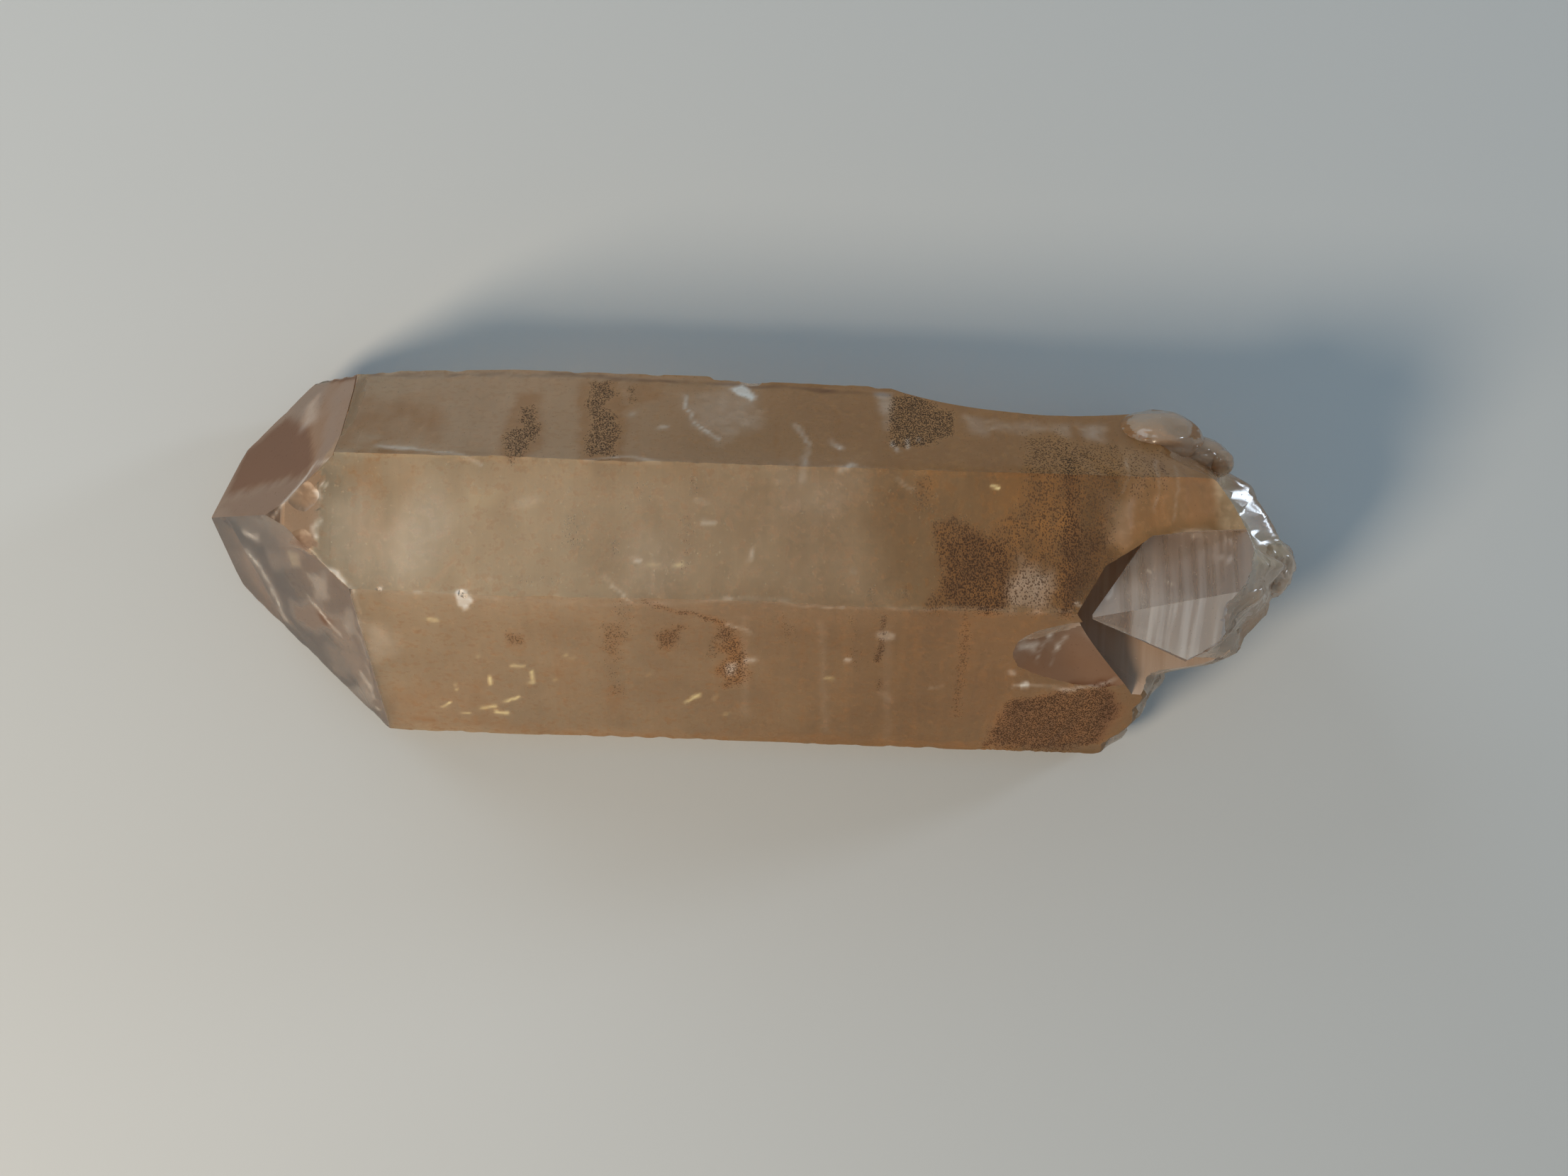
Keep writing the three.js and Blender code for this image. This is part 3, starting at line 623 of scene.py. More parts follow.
# Each patch, chart by chart: the level it adds to, its strength, how soft and how ragged its rim is in mm,
# and its outline. Besides stains, pits and pale frost, the patches paint light: the dark patches on the
# point, where the clear quartz looks dim, are painted shade, and elsewhere dark patches are mostly stains.
# Some pale patches on the point are painted highlights and reflections.
patches = {
    "tip": [
        ("stainAndShade", 0.6, 0.7, 0.3, [(0, 480), (130, 270), (330, 100), (440, 150), (455, 320), (430, 370),
            (200, 430)]),
        ("stainAndShade", 0.5, 0.5, 0.3, [(300, 240), (440, 200), (450, 320), (330, 350)]),
        ("whiteAndHighlight", 0.3, 0.6, 0.4, [(370, 20), (480, 0), (480, 110), (400, 160)]),
        ("rust", 0.45, 0.6, 0.4, [(30, 450), (180, 300), (300, 360), (420, 360), (200, 430)]),
        ("rust", 0.9, 0.3, 0.3, [(385, 10), (470, 0), (490, 120), (470, 260), (380, 330), (370, 180)]),
        ("stainAndShade", 0.2, 0.8, 0.4, [(0, 520), (250, 440), (430, 370), (480, 560), (450, 770), (200, 700)]),
        ("rust", 0.5, 0.35, 0.3, [(400, 450), (470, 350), (510, 400), (480, 540), (400, 530)]),
        ("rust", 0.35, 0.3, 0.2, [(250, 730), (370, 690), (460, 680), (478, 715), (440, 765)]),
        ("stainAndShade", 0.6, 0.3, 0.2, [(340, 720), (400, 690), (470, 685), (475, 725), (430, 760)]),
        ("rust", 0.35, 0.5, 0.3, [(0, 760), (130, 770), (330, 1110), (560, 1400), (500, 1380), (280, 1120),
            (100, 930)]),
        ("stainAndShade", 0.55, 0.6, 0.4, [(340, 1010), (480, 1010), (560, 1110), (480, 1160), (380, 1100)]),
        ("stainAndShade", 0.45, 0.5, 0.4, [(480, 1060), (600, 1080), (670, 1230), (560, 1180)]),
        ("stainAndShade", 0.3, 0.8, 0.4, [(520, 1210), (690, 1250), (710, 1370), (560, 1360)]),
        ("stainAndShade", 0.3, 0.5, 0.3, [(230, 740), (340, 760), (350, 840), (260, 860)]),
        ("whiteAndHighlight", 0.5, 0.4, 0.4, [(440, 880), (520, 860), (535, 990), (470, 995)]),
        ("goldAndGlint", 0.4, 0.25, 0.2, [(335, 755), (395, 768), (395, 830), (355, 830)]),
        ("whiteAndHighlight", 0.4, 0.4, 0.3, [(610, 1060), (650, 1040), (690, 1200), (620, 1140)]),
        ("whiteAndHighlight", 0.4, 0.4, 0.4, [(640, 1440), (700, 1400), (760, 1480), (740, 1530)]),
        ("whiteAndHighlight", 0.26, 1.8, 0.4, [(520, 520), (700, 440), (820, 600), (1050, 450), (1150, 620), (1050, 850),
            (900, 930), (660, 930), (500, 780)]),
        ("rust", 0.55, 1, 1, [(540, 330), (760, 250), (1050, 290), (1000, 420), (900, 520), (700, 500)]),
        ("goldAndGlint", 0.12, 0.6, 0.5, [(1220, 460), (1350, 470), (1340, 540), (1240, 530)]),
        ("rust", 0.45, 1.2, 1, [(600, 560), (900, 560), (880, 800), (720, 800)]),
        ("whiteAndHighlight", 0.3, 0.8, 0.8, [(700, 1110), (760, 1100), (880, 1200), (860, 1250), (740, 1300)]),
        ("rust", 0.35, 1, 0.8, [(800, 1430), (1300, 1380), (1359, 1568), (760, 1568)]),
        ("rust", 0.3, 1, 1, [(600, 0), (1100, 0), (1080, 230), (700, 200), (590, 240)]),
        ("whiteAndHighlight", 1, 0.15, 0.2, [(1160, 960), (1200, 945), (1240, 1000), (1210, 1050), (1170, 1020)]),
    ],
    "left": [
        ("pits", 0.9, 0.3, 0.6, [(125, 110), (185, 110), (190, 230), (165, 260), (120, 200)]),
        ("pits", 0.9, 0.3, 0.6, [(40, 240), (100, 215), (170, 240), (150, 310), (80, 370), (50, 350)]),
        ("pits", 0.95, 0.3, 0.7, [(445, 0), (530, 0), (560, 60), (510, 110), (580, 180), (575, 260),
            (540, 345), (420, 360), (405, 330), (440, 240), (440, 120)]),
        ("pits", 0.9, 0.2, 0.3, [(625, 15), (645, 15), (655, 85), (635, 85)]),
        ("pits", 0.2, 0.5, 0.5, [(330, 620), (395, 620), (400, 780), (300, 780)]),
        ("pits", 0.15, 0.4, 0.5, [(600, 560), (650, 560), (650, 650), (600, 650)]),
        ("pits", 0.12, 0.6, 0.5, [(640, 470), (740, 470), (740, 570), (640, 560)]),
        ("pits", 0.2, 0.3, 0.4, [(80, 905), (290, 905), (290, 940), (80, 945)]),
        ("pits", 0.18, 0.5, 0.5, [(880, 640), (940, 640), (930, 840), (870, 880)]),
        ("pits", 0.3, 0.4, 0.4, [(540, 740), (580, 740), (570, 800), (545, 800)]),
        ("rust", 0.5, 0.7, 0.5, [(110, 60), (200, 60), (220, 280), (120, 380), (20, 380), (30, 230)]),
        ("rust", 0.6, 0.7, 0.5, [(400, 0), (570, 0), (600, 180), (580, 370), (390, 380)]),
        ("rust", 0.3, 0.5, 0.5, [(600, 0), (780, 0), (760, 60), (640, 100)]),
        ("whiteAndHighlight", 0.12, 1.4, 1, [(590, 760), (700, 690), (830, 740), (880, 880), (760, 1000), (600, 960)]),
        ("stainAndShade", 0.35, 0.3, 0.3, [(75, 590), (100, 550), (190, 535), (205, 550), (150, 590)]),
        ("whiteAndHighlight", 0.22, 1.2, 1, [(900, 70), (1100, 20), (1230, 60), (1220, 190), (1060, 260), (950, 180)]),
        ("whiteAndHighlight", 0.75, 0.2, 0.3, [(1105, 30), (1160, 10), (1225, 60), (1210, 82), (1140, 60)]),
        ("stainAndShade", 0.3, 1.5, 1.2, [(900, 300), (1368, 180), (1368, 420), (1000, 420)]),
        ("pits", 0.55, 0.3, 0.4, [(50, 1180), (115, 1185), (110, 1225), (60, 1225)]),
        ("pits", 0.4, 0.5, 0.6, [(500, 1140), (590, 1150), (590, 1300), (510, 1300)]),
        ("pits", 0.25, 0.5, 0.6, [(545, 1040), (630, 1040), (630, 1200), (600, 1200)]),
        ("pits", 0.3, 0.5, 0.6, [(530, 1310), (560, 1310), (600, 1460), (540, 1460)]),
        ("pits", 0.75, 0.3, 0.5, [(740, 1180), (800, 1150), (880, 1150), (840, 1240), (760, 1260)]),
        ("pits", 0.75, 0.35, 0.6, [(1065, 1150), (1140, 1180), (1180, 1290), (1190, 1400), (1085, 1430),
            (1040, 1350), (1090, 1290), (1040, 1200)]),
        ("pits", 0.35, 0.4, 0.5, [(1000, 1210), (1050, 1200), (1040, 1290), (1000, 1290)]),
        ("rust", 0.4, 0.5, 0.4, [(45, 1170), (130, 1170), (130, 1290), (50, 1240)]),
        ("rust", 0.4, 0.6, 0.5, [(490, 1140), (600, 1140), (600, 1310), (500, 1310)]),
        ("rust", 0.45, 0.8, 0.6, [(530, 1430), (600, 1430), (600, 1568), (530, 1568)]),
        ("rust", 0.55, 0.5, 0.4, [(730, 1170), (810, 1140), (890, 1140), (850, 1250), (750, 1270)]),
        ("rust", 0.6, 0.6, 0.5, [(1050, 1140), (1160, 1170), (1200, 1290), (1200, 1410), (1070, 1440),
            (1030, 1350), (1070, 1290), (1030, 1200)]),
        ("whiteAndHighlight", 0.5, 0.3, 0.3, [(1090, 1320), (1130, 1320), (1130, 1375), (1090, 1375)]),
        ("rust", 0.3, 1.2, 1, [(220, 1290), (420, 1300), (420, 1480), (240, 1480)]),
    ],
    "right": [
        ("whiteAndHighlight", 0.3, 0.5, 0.5, [(440, 45), (530, 50), (515, 150), (505, 205), (470, 120)]),
        ("pits", 1, 0.25, 0.4, [(525, 60), (650, 60), (740, 120), (820, 130), (810, 250), (740, 275),
            (600, 300), (535, 300), (515, 180)]),
        ("rust", 0.3, 0.6, 0.4, [(520, 60), (650, 60), (740, 120), (830, 130), (810, 260), (540, 300)]),
        ("rust", 0.75, 1, 0.8, [(540, 310), (820, 260), (830, 450), (700, 560), (620, 420)]),
        ("pits", 0.4, 0.6, 0.6, [(640, 430), (720, 430), (720, 600), (650, 600)]),
        ("whiteAndHighlight", 0.2, 0.5, 0.5, [(870, 150), (940, 170), (1000, 230), (970, 255), (900, 220)]),
        ("whiteAndHighlight", 0.18, 0.5, 0.5, [(990, 190), (1368, 200), (1368, 240), (1000, 225)]),
        ("rust", 0.65, 1.4, 1, [(920, 240), (1368, 240), (1368, 700), (1100, 640), (960, 640)]),
        ("pits", 0.8, 0.6, 0.6, [(720, 660), (820, 640), (960, 700), (980, 1060), (700, 1060), (690, 1030),
            (770, 960), (740, 800)]),
        ("pits", 0.8, 0.7, 0.6, [(810, 780), (940, 730), (1060, 800), (1060, 1060), (840, 1060), (820, 920)]),
        ("pits", 0.6, 0.8, 0.6, [(960, 700), (1100, 620), (1170, 420), (1168, 260), (1300, 240), (1368, 300),
            (1368, 1080), (980, 1060)]),
        ("rust", 0.55, 1, 0.8, [(720, 660), (1000, 650), (1368, 640), (1368, 1080), (700, 1060), (760, 900)]),
        ("whiteAndHighlight", 0.3, 0.8, 0.7, [(1140, 850), (1280, 900), (1270, 1060), (1080, 1060), (1070, 960)]),
        ("pits", 0.4, 0.3, 0.3, [(575, 945), (610, 945), (605, 1025), (580, 1025)]),
        ("pits", 0.3, 0.3, 0.3, [(415, 960), (445, 960), (445, 1035), (415, 1035)]),
        ("whiteAndHighlight", 0.1, 1.2, 1, [(0, 400), (420, 400), (440, 540), (200, 640), (0, 620)]),
        ("pits", 0.18, 0.4, 0.4, [(330, 1100), (370, 1100), (370, 1360), (330, 1360)]),
        ("pits", 0.8, 0.2, 0.25, [(478, 1080), (495, 1080), (495, 1180), (478, 1180)]),
        ("pits", 0.8, 0.2, 0.3, [(485, 1210), (500, 1230), (470, 1310), (455, 1310), (465, 1260)]),
        ("pits", 0.6, 0.2, 0.3, [(465, 1400), (485, 1410), (480, 1450), (462, 1440)]),
        ("pits", 0.5, 0.3, 0.4, [(860, 1080), (885, 1080), (885, 1290), (850, 1430), (850, 1568), (810, 1568),
            (830, 1400), (860, 1270)]),
        ("rust", 0.35, 0.5, 0.4, [(850, 1080), (895, 1080), (895, 1290), (860, 1430), (860, 1568),
            (800, 1568), (820, 1400)]),
        ("whiteAndHighlight", 0.35, 0.2, 0.3, [(460, 1180), (500, 1175), (545, 1190), (540, 1205), (470, 1200)]),
        ("pits", 0.3, 0.6, 0.6, [(0, 1100), (60, 1130), (50, 1200), (0, 1200)]),
        ("rust", 0.35, 1.5, 1, [(880, 1090), (1240, 1120), (1200, 1350), (1000, 1568), (860, 1568)]),
        ("whiteAndHighlight", 0.5, 0.3, 0.4, [(1130, 1225), (1210, 1230), (1200, 1260), (1130, 1250)]),
    ],
    "root": [
        ("pits", 0.55, 0.7, 0.5, [(0, 230), (240, 250), (270, 480), (240, 700), (200, 870), (160, 1000),
            (0, 1060)]),
        ("pits", 0.3, 0.8, 0.5, [(240, 250), (480, 270), (520, 420), (420, 520), (270, 480)]),
        ("whiteAndHighlight", 0.06, 0.7, 0.5, [(290, 250), (600, 310), (690, 330), (760, 610), (450, 650), (300, 760),
            (250, 700), (300, 480)]),
        ("rust", 0.75, 0.7, 0.5, [(290, 250), (600, 310), (690, 330), (760, 610), (450, 650), (300, 760),
            (250, 700), (300, 480)]),
        ("pits", 0.3, 0.6, 0.5, [(0, 600), (200, 700), (150, 900), (0, 1050)]),
        ("rust", 0.15, 1, 0.7, [(0, 230), (250, 260), (600, 310), (690, 330), (770, 620), (450, 660),
            (330, 740), (200, 870), (0, 900)]),
        ("stainAndShade", 0.35, 0.9, 0.6, [(330, 250), (600, 300), (690, 330), (770, 630), (640, 650), (560, 520),
            (420, 360)]),
        ("whiteAndHighlight", 0.2, 0.5, 0.4, [(130, 140), (205, 145), (215, 215), (150, 180)]),
        ("whiteAndHighlight", 0.25, 0.5, 0.4, [(60, 140), (140, 150), (200, 220), (120, 200)]),
        ("whiteAndHighlight", 0.12, 0.8, 0.7, [(200, 480), (330, 520), (310, 700), (230, 700)]),
        ("whiteAndHighlight", 0.22, 0.6, 0.4, [(700, 400), (790, 370), (960, 640), (1100, 700), (1170, 850), (1100, 960),
            (950, 1050), (900, 900), (770, 640)]),
        ("goldAndGlint", 0.15, 0.6, 0.4, [(700, 400), (790, 370), (960, 640), (1100, 700), (1100, 800), (950, 850),
            (900, 750), (770, 640)]),
        ("whiteAndHighlight", 0.06, 0.5, 0.4, [(300, 130), (400, 80), (480, 90), (550, 170), (640, 230), (600, 280),
            (400, 240)]),
        ("whiteAndHighlight", 0.25, 0.5, 0.4, [(120, 1090), (180, 1180), (380, 1360), (300, 1350), (100, 1150)]),
    ],
    "whole": [
        ("whiteAndHighlight", 0.14, 2.5, 0.4, [(560, 660), (1200, 665), (1260, 860), (560, 850)]),
        ("pits", 0.95, 0.5, 0.5, [(1422, 990), (1560, 965), (1580, 1000), (1560, 1055), (1500, 1060),
            (1400, 1062), (1400, 1030)]),
        ("rust", 0.5, 0.6, 0.5, [(1410, 985), (1565, 960), (1590, 1000), (1570, 1058), (1400, 1064),
            (1390, 1030)]),
        ("stainAndShade", 0.35, 0.6, 0.5, [(1410, 985), (1565, 960), (1590, 1000), (1570, 1058), (1400, 1064),
            (1390, 1030)]),
        ("rust", 0.2, 0.4, 0.3, [(1455, 895), (1530, 890), (1585, 960), (1500, 970), (1440, 962),
            (1450, 925)]),
        ("rust", 0.6, 0.4, 0.2, [(1542, 865), (1565, 800), (1612, 760), (1640, 755), (1610, 800),
            (1560, 868)]),
        ("rust", 0.25, 0.3, 0.2, [(1540, 870), (1600, 930), (1620, 950), (1590, 965)]),
        ("stainAndShade", 0.3, 0.6, 0.4, [(1560, 970), (1620, 965), (1610, 1040), (1560, 1060)]),
        ("whiteAndHighlight", 0.9, 0.12, 0.15, [(1440, 963), (1452, 962), (1452, 970), (1440, 970)]),
    ],
}

# Each mark, chart by chart: the level it adds to, its strength, its half width in mm, and the points it runs
# through. Many pale marks are painted highlights, glints and reflections, and the gold ones are painted
# golden glints; some dark marks, such as those beside pale wrinkle lines, are painted shade. The other marks
# are stains, cracks, wear and pale frost. The gold ones are drawn stronger, up to the most, and narrower.
goldMark = {"stronger": 1.3, "most": 1.3, "narrower": 0.62}
marks = {
    "tip": [
        ("whiteAndHighlight", 1, 0.3, [(125, 665), (185, 695)]),
        ("whiteAndHighlight", 0.85, 0.22, [(140, 765), (200, 840), (245, 920), (275, 985), (300, 1050), (325, 1100)]),
        ("whiteAndHighlight", 0.3, 0.6, [(140, 765), (245, 920), (300, 1050)]),
        ("whiteAndHighlight", 0.9, 0.13, [(430, 980), (500, 1060), (590, 1160)]),
        ("whiteAndHighlight", 1, 0.22, [(700, 1370), (745, 1430)]),
        ("whiteAndHighlight", 1, 0.15, [(770, 1525), (780, 1532)]),
        ("whiteAndHighlight", 0.55, 0.13, [(770, 240), (860, 240), (930, 246), (1050, 262), (1110, 277), (1180, 290),
            (1230, 318), (1290, 330)]),
        ("whiteAndHighlight", 0.6, 0.16, [(530, 310), (470, 330), (430, 390), (350, 490), (260, 590)]),
        ("whiteAndHighlight", 1, 0.16, [(510, 432), (518, 438)]),
        ("whiteAndHighlight", 0.9, 0.16, [(480, 470), (495, 500)]),
        ("whiteAndHighlight", 0.9, 0.16, [(495, 600), (460, 640), (470, 690)]),
        ("whiteAndHighlight", 0.9, 0.16, [(545, 850), (580, 865), (610, 900)]),
        ("whiteAndHighlight", 0.5, 0.14, [(480, 780), (560, 860), (650, 950)]),
        ("whiteAndHighlight", 0.4, 0.15, [(655, 960), (680, 1100), (720, 1300), (760, 1480)]),
        ("whiteAndHighlight", 0.14, 0.13, [(650, 950), (780, 945), (860, 960), (980, 965), (1140, 968), (1359, 992)]),
        ("whiteAndHighlight", 0.7, 0.12, [(785, 943), (795, 948)]),
        ("whiteAndHighlight", 0.5, 0.12, [(960, 962), (995, 962)]),
        ("rust", 0.75, 0.2, [(1010, 940), (1060, 895), (1110, 835), (1160, 780)]),
        ("rust", 0.8, 0.15, [(1215, 940), (1245, 905)]),
        ("goldAndGlint", 1, 0.18, [(1025, 1088), (1060, 1092)]),
        ("goldAndGlint", 1, 0.15, [(1325, 1370), (1322, 1410)]),
        ("goldAndGlint", 0.8, 0.14, [(1265, 1265), (1275, 1275)]),
        ("goldAndGlint", 0.8, 0.14, [(1180, 1545), (1230, 1550)]),
        ("goldAndGlint", 0.8, 0.12, [(1150, 1400), (1165, 1440)]),
        ("goldAndGlint", 0.9, 0.13, [(1080, 1520), (1120, 1505)]),
        ("goldAndGlint", 0.7, 0.25, [(1280, 1530), (1350, 1520)]),
        ("stainAndShade", 0.7, 0.14, [(960, 1153), (990, 1156)]),
        ("stainAndShade", 0.9, 0.12, [(872, 1187), (877, 1189)]),
        ("stainAndShade", 0.7, 0.12, [(1320, 893), (1340, 895)]),
    ],
    "left": [
        ("stainAndShade", 0.8, 0.14, [(945, 555), (980, 570)]),
        ("pits", 0.7, 0.2, [(935, 455), (930, 520)]),
        ("whiteAndHighlight", 0.8, 0.15, [(650, 835), (672, 838)]),
        ("goldAndGlint", 0.4, 0.3, [(840, 855), (880, 845)]),
        ("goldAndGlint", 0.2, 0.3, [(715, 860), (760, 865)]),
        ("whiteAndHighlight", 0.7, 0.14, [(970, 650), (1025, 668)]),
        ("stainAndShade", 0.6, 0.16, [(500, 907), (530, 930), (550, 955)]),
        ("whiteAndHighlight", 0.5, 0.12, [(550, 960), (590, 990), (630, 1030)]),
        ("whiteAndHighlight", 0.6, 0.12, [(1195, 795), (1190, 840)]),
        ("rust", 0.6, 0.16, [(1190, 840), (1150, 890), (1130, 930), (1100, 975)]),
        ("whiteAndHighlight", 0.14, 0.13, [(0, 1025), (300, 1030), (600, 1050), (1000, 1030), (1090, 1020),
            (1368, 1025)]),
        ("whiteAndHighlight", 0.4, 0.14, [(1075, 1020), (1100, 1020)]),
        ("pits", 0.9, 0.17, [(690, 1037), (760, 1052), (820, 1062)]),
        ("pits", 1, 0.2, [(855, 1080), (935, 1090)]),
        ("pits", 0.9, 0.17, [(955, 1102), (1010, 1110), (1085, 1123)]),
        ("rust", 0.7, 0.24, [(690, 1037), (820, 1062), (855, 1080), (935, 1090), (1085, 1123)]),
        ("whiteAndHighlight", 0.4, 0.12, [(1085, 1125), (1150, 1150), (1210, 1195)]),
        ("whiteAndHighlight", 0.5, 0.14, [(890, 60), (895, 110), (920, 160), (950, 195), (1000, 240), (1045, 270)]),
        ("whiteAndHighlight", 0.5, 0.2, [(765, 210), (800, 212)]),
        ("whiteAndHighlight", 0.5, 0.16, [(630, 148), (650, 149)]),
        ("whiteAndHighlight", 0.35, 0.14, [(420, 365), (500, 352), (560, 348), (700, 352), (780, 385)]),
        ("goldAndGlint", 1, 0.18, [(172, 1362), (158, 1400)]),
        ("goldAndGlint", 0.7, 0.22, [(80, 1325), (130, 1330)]),
        ("goldAndGlint", 0.6, 0.14, [(140, 1412), (180, 1415)]),
        ("goldAndGlint", 0.9, 0.2, [(45, 1500), (100, 1478)]),
        ("goldAndGlint", 0.9, 0.25, [(0, 1548), (55, 1556)]),
        ("goldAndGlint", 1, 0.2, [(888, 1502), (915, 1482), (950, 1470)]),
        ("goldAndGlint", 0.7, 0.16, [(1025, 1480), (1040, 1482)]),
        ("goldAndGlint", 0.8, 0.16, [(1075, 1562), (1085, 1566)]),
        ("goldAndGlint", 0.5, 0.14, [(720, 1365), (740, 1362)]),
        ("goldAndGlint", 0.5, 0.13, [(940, 1420), (965, 1422)]),
        ("goldAndGlint", 0.5, 0.14, [(330, 1285), (365, 1300)]),
        ("goldAndGlint", 0.5, 0.16, [(280, 1390), (290, 1388)]),
        ("whiteAndHighlight", 0.7, 0.2, [(1180, 1300), (1215, 1305)]),
        ("stainAndShade", 0.8, 0.14, [(190, 1482), (225, 1480)]),
        ("stainAndShade", 0.8, 0.13, [(210, 1310), (215, 1314)]),
        ("rust", 0.6, 0.16, [(1110, 1512), (1180, 1508)]),
        ("rust", 0.5, 0.16, [(1080, 1545), (1110, 1540)]),
        ("stainAndShade", 0.6, 0.13, [(1325, 460), (1332, 472)]),
    ],
    "right": [
        ("whiteAndHighlight", 0.5, 0.16, [(65, 200), (110, 235), (130, 270), (140, 295)]),
        ("whiteAndHighlight", 0.4, 0.3, [(125, 320), (115, 400), (110, 450)]),
        ("whiteAndHighlight", 0.5, 0.25, [(245, 275), (285, 310)]),
        ("whiteAndHighlight", 0.5, 0.25, [(290, 405), (340, 388)]),
        ("whiteAndHighlight", 0.6, 0.12, [(520, 282), (562, 320)]),
        ("whiteAndHighlight", 0.5, 0.12, [(590, 272), (612, 308)]),
        ("whiteAndHighlight", 0.6, 0.12, [(640, 260), (665, 285)]),
        ("whiteAndHighlight", 0.3, 0.12, [(555, 450), (640, 505)]),
        ("goldAndGlint", 0.9, 0.2, [(990, 488), (1020, 492)]),
        ("whiteAndHighlight", 0.16, 0.13, [(0, 1030), (100, 1050), (300, 1060), (700, 1065), (1000, 1075), (1368, 1080)]),
        ("whiteAndHighlight", 0.4, 0.13, [(205, 1060), (240, 1065)]),
        ("whiteAndHighlight", 0.5, 0.14, [(280, 1062), (292, 1062)]),
        ("rust", 0.7, 0.14, [(1080, 1070), (1230, 1076)]),
        ("stainAndShade", 0.9, 0.12, [(597, 352), (601, 353)]),
        ("stainAndShade", 0.9, 0.12, [(868, 1278), (872, 1281)]),
        ("stainAndShade", 0.9, 0.12, [(966, 1254), (970, 1257)]),
        ("stainAndShade", 0.9, 0.12, [(461, 1308), (465, 1311)]),
        ("goldAndGlint", 0.5, 0.2, [(225, 1385), (250, 1392)]),
        ("whiteAndHighlight", 0.2, 0.2, [(470, 1465), (520, 1490)]),
        ("whiteAndHighlight", 0.6, 0.14, [(308, 1308), (330, 1310)]),
        ("whiteAndHighlight", 0.4, 0.14, [(330, 880), (350, 882)]),
        ("whiteAndHighlight", 0.4, 0.12, [(700, 1438), (760, 1432)]),
    ],
    "root": [
        ("whiteAndHighlight", 0.18, 0.1, [(300, 300), (320, 400), (290, 480)]),
        ("stainAndShade", 0.4, 0.1, [(330, 300), (350, 400), (325, 500)]),
        ("whiteAndHighlight", 0.18, 0.1, [(450, 310), (470, 420), (440, 560)]),
        ("stainAndShade", 0.4, 0.1, [(480, 320), (500, 430), (475, 570)]),
        ("whiteAndHighlight", 0.18, 0.1, [(540, 330), (560, 450), (545, 600)]),
        ("stainAndShade", 0.35, 0.1, [(580, 340), (610, 450), (600, 600)]),
        ("stainAndShade", 0.6, 0.25, [(400, 375), (370, 450), (330, 560), (345, 640)]),
        ("whiteAndHighlight", 0.6, 0.18, [(240, 830), (180, 920), (150, 990)]),
        ("whiteAndHighlight", 0.8, 0.16, [(65, 1022), (85, 1030)]),
        ("whiteAndHighlight", 0.9, 0.14, [(635, 686), (645, 688)]),
        ("whiteAndHighlight", 0.35, 0.16, [(440, 690), (560, 675), (700, 690)]),
        ("whiteAndHighlight", 0.6, 0.14, [(790, 700), (850, 725)]),
        ("whiteAndHighlight", 0.5, 0.14, [(745, 790), (775, 790)]),
        ("stainAndShade", 0.7, 0.15, [(795, 802), (825, 804)]),
        ("stainAndShade", 0.4, 0.2, [(250, 200), (270, 250)]),
        ("goldAndGlint", 0.7, 0.1, [(410, 850), (430, 862)]),
        ("goldAndGlint", 0.6, 0.1, [(495, 890), (545, 922)]),
    ],
    "whole": [
        ("rust", 0.9, 0.75, [(438, 660), (448, 620), (456, 585), (462, 560), (468, 530), (474, 505)]),
        ("rust", 0.4, 0.12, [(905, 640), (903, 760)]),
        ("rust", 0.35, 0.14, [(842, 560), (838, 700), (836, 800)]),
        ("rust", 0.4, 0.12, [(1010, 870), (1012, 1000)]),
        ("rust", 0.4, 0.14, [(1085, 872), (1088, 1020)]),
        ("rust", 0.45, 0.13, [(1128, 880), (1132, 1030)]),
        ("rust", 0.4, 0.14, [(1190, 880), (1192, 1040)]),
        ("rust", 0.45, 0.2, [(1292, 885), (1290, 1050)]),
        ("rust", 0.45, 0.18, [(1330, 890), (1326, 1052)]),
        ("rust", 0.4, 0.15, [(782, 865), (790, 1010)]),
        ("whiteAndHighlight", 0.14, 0.3, [(1050, 872), (1052, 1010)]),
        ("whiteAndHighlight", 0.14, 0.3, [(1160, 880), (1164, 1030)]),
        ("whiteAndHighlight", 0.12, 0.3, [(1250, 885), (1252, 1040)]),
        ("rust", 0.35, 0.12, [(1180, 580), (1178, 700)]),
        ("rust", 0.3, 0.12, [(1096, 600), (1092, 760)]),
        ("rust", 0.5, 0.6, [(560, 1014), (700, 1024), (900, 1040), (1100, 1048), (1421, 1056)]),
        ("stainAndShade", 0.45, 0.3, [(555, 1024), (700, 1032), (900, 1046), (1100, 1053), (1421, 1061)]),
        ("stainAndShade", 0.9, 0.24, [(470, 537), (560, 530), (667, 527), (800, 529), (1030, 543), (1259, 558)]),
        ("whiteAndHighlight", 0.3, 0.1, [(1462, 935), (1470, 910), (1490, 890), (1520, 878)]),
        ("whiteAndHighlight", 0.2, 0.08, [(1482, 935), (1490, 915), (1508, 900)]),
        ("whiteAndHighlight", 0.5, 0.13, [(1430, 968), (1455, 966), (1500, 972), (1540, 968), (1575, 962)]),
        ("whiteAndHighlight", 0.9, 0.16, [(1425, 948), (1432, 950)]),
        ("whiteAndHighlight", 0.6, 0.12, [(1478, 890), (1486, 905), (1492, 915)]),
        ("whiteAndHighlight", 0.5, 0.12, [(1500, 905), (1508, 895)]),
    ],
}


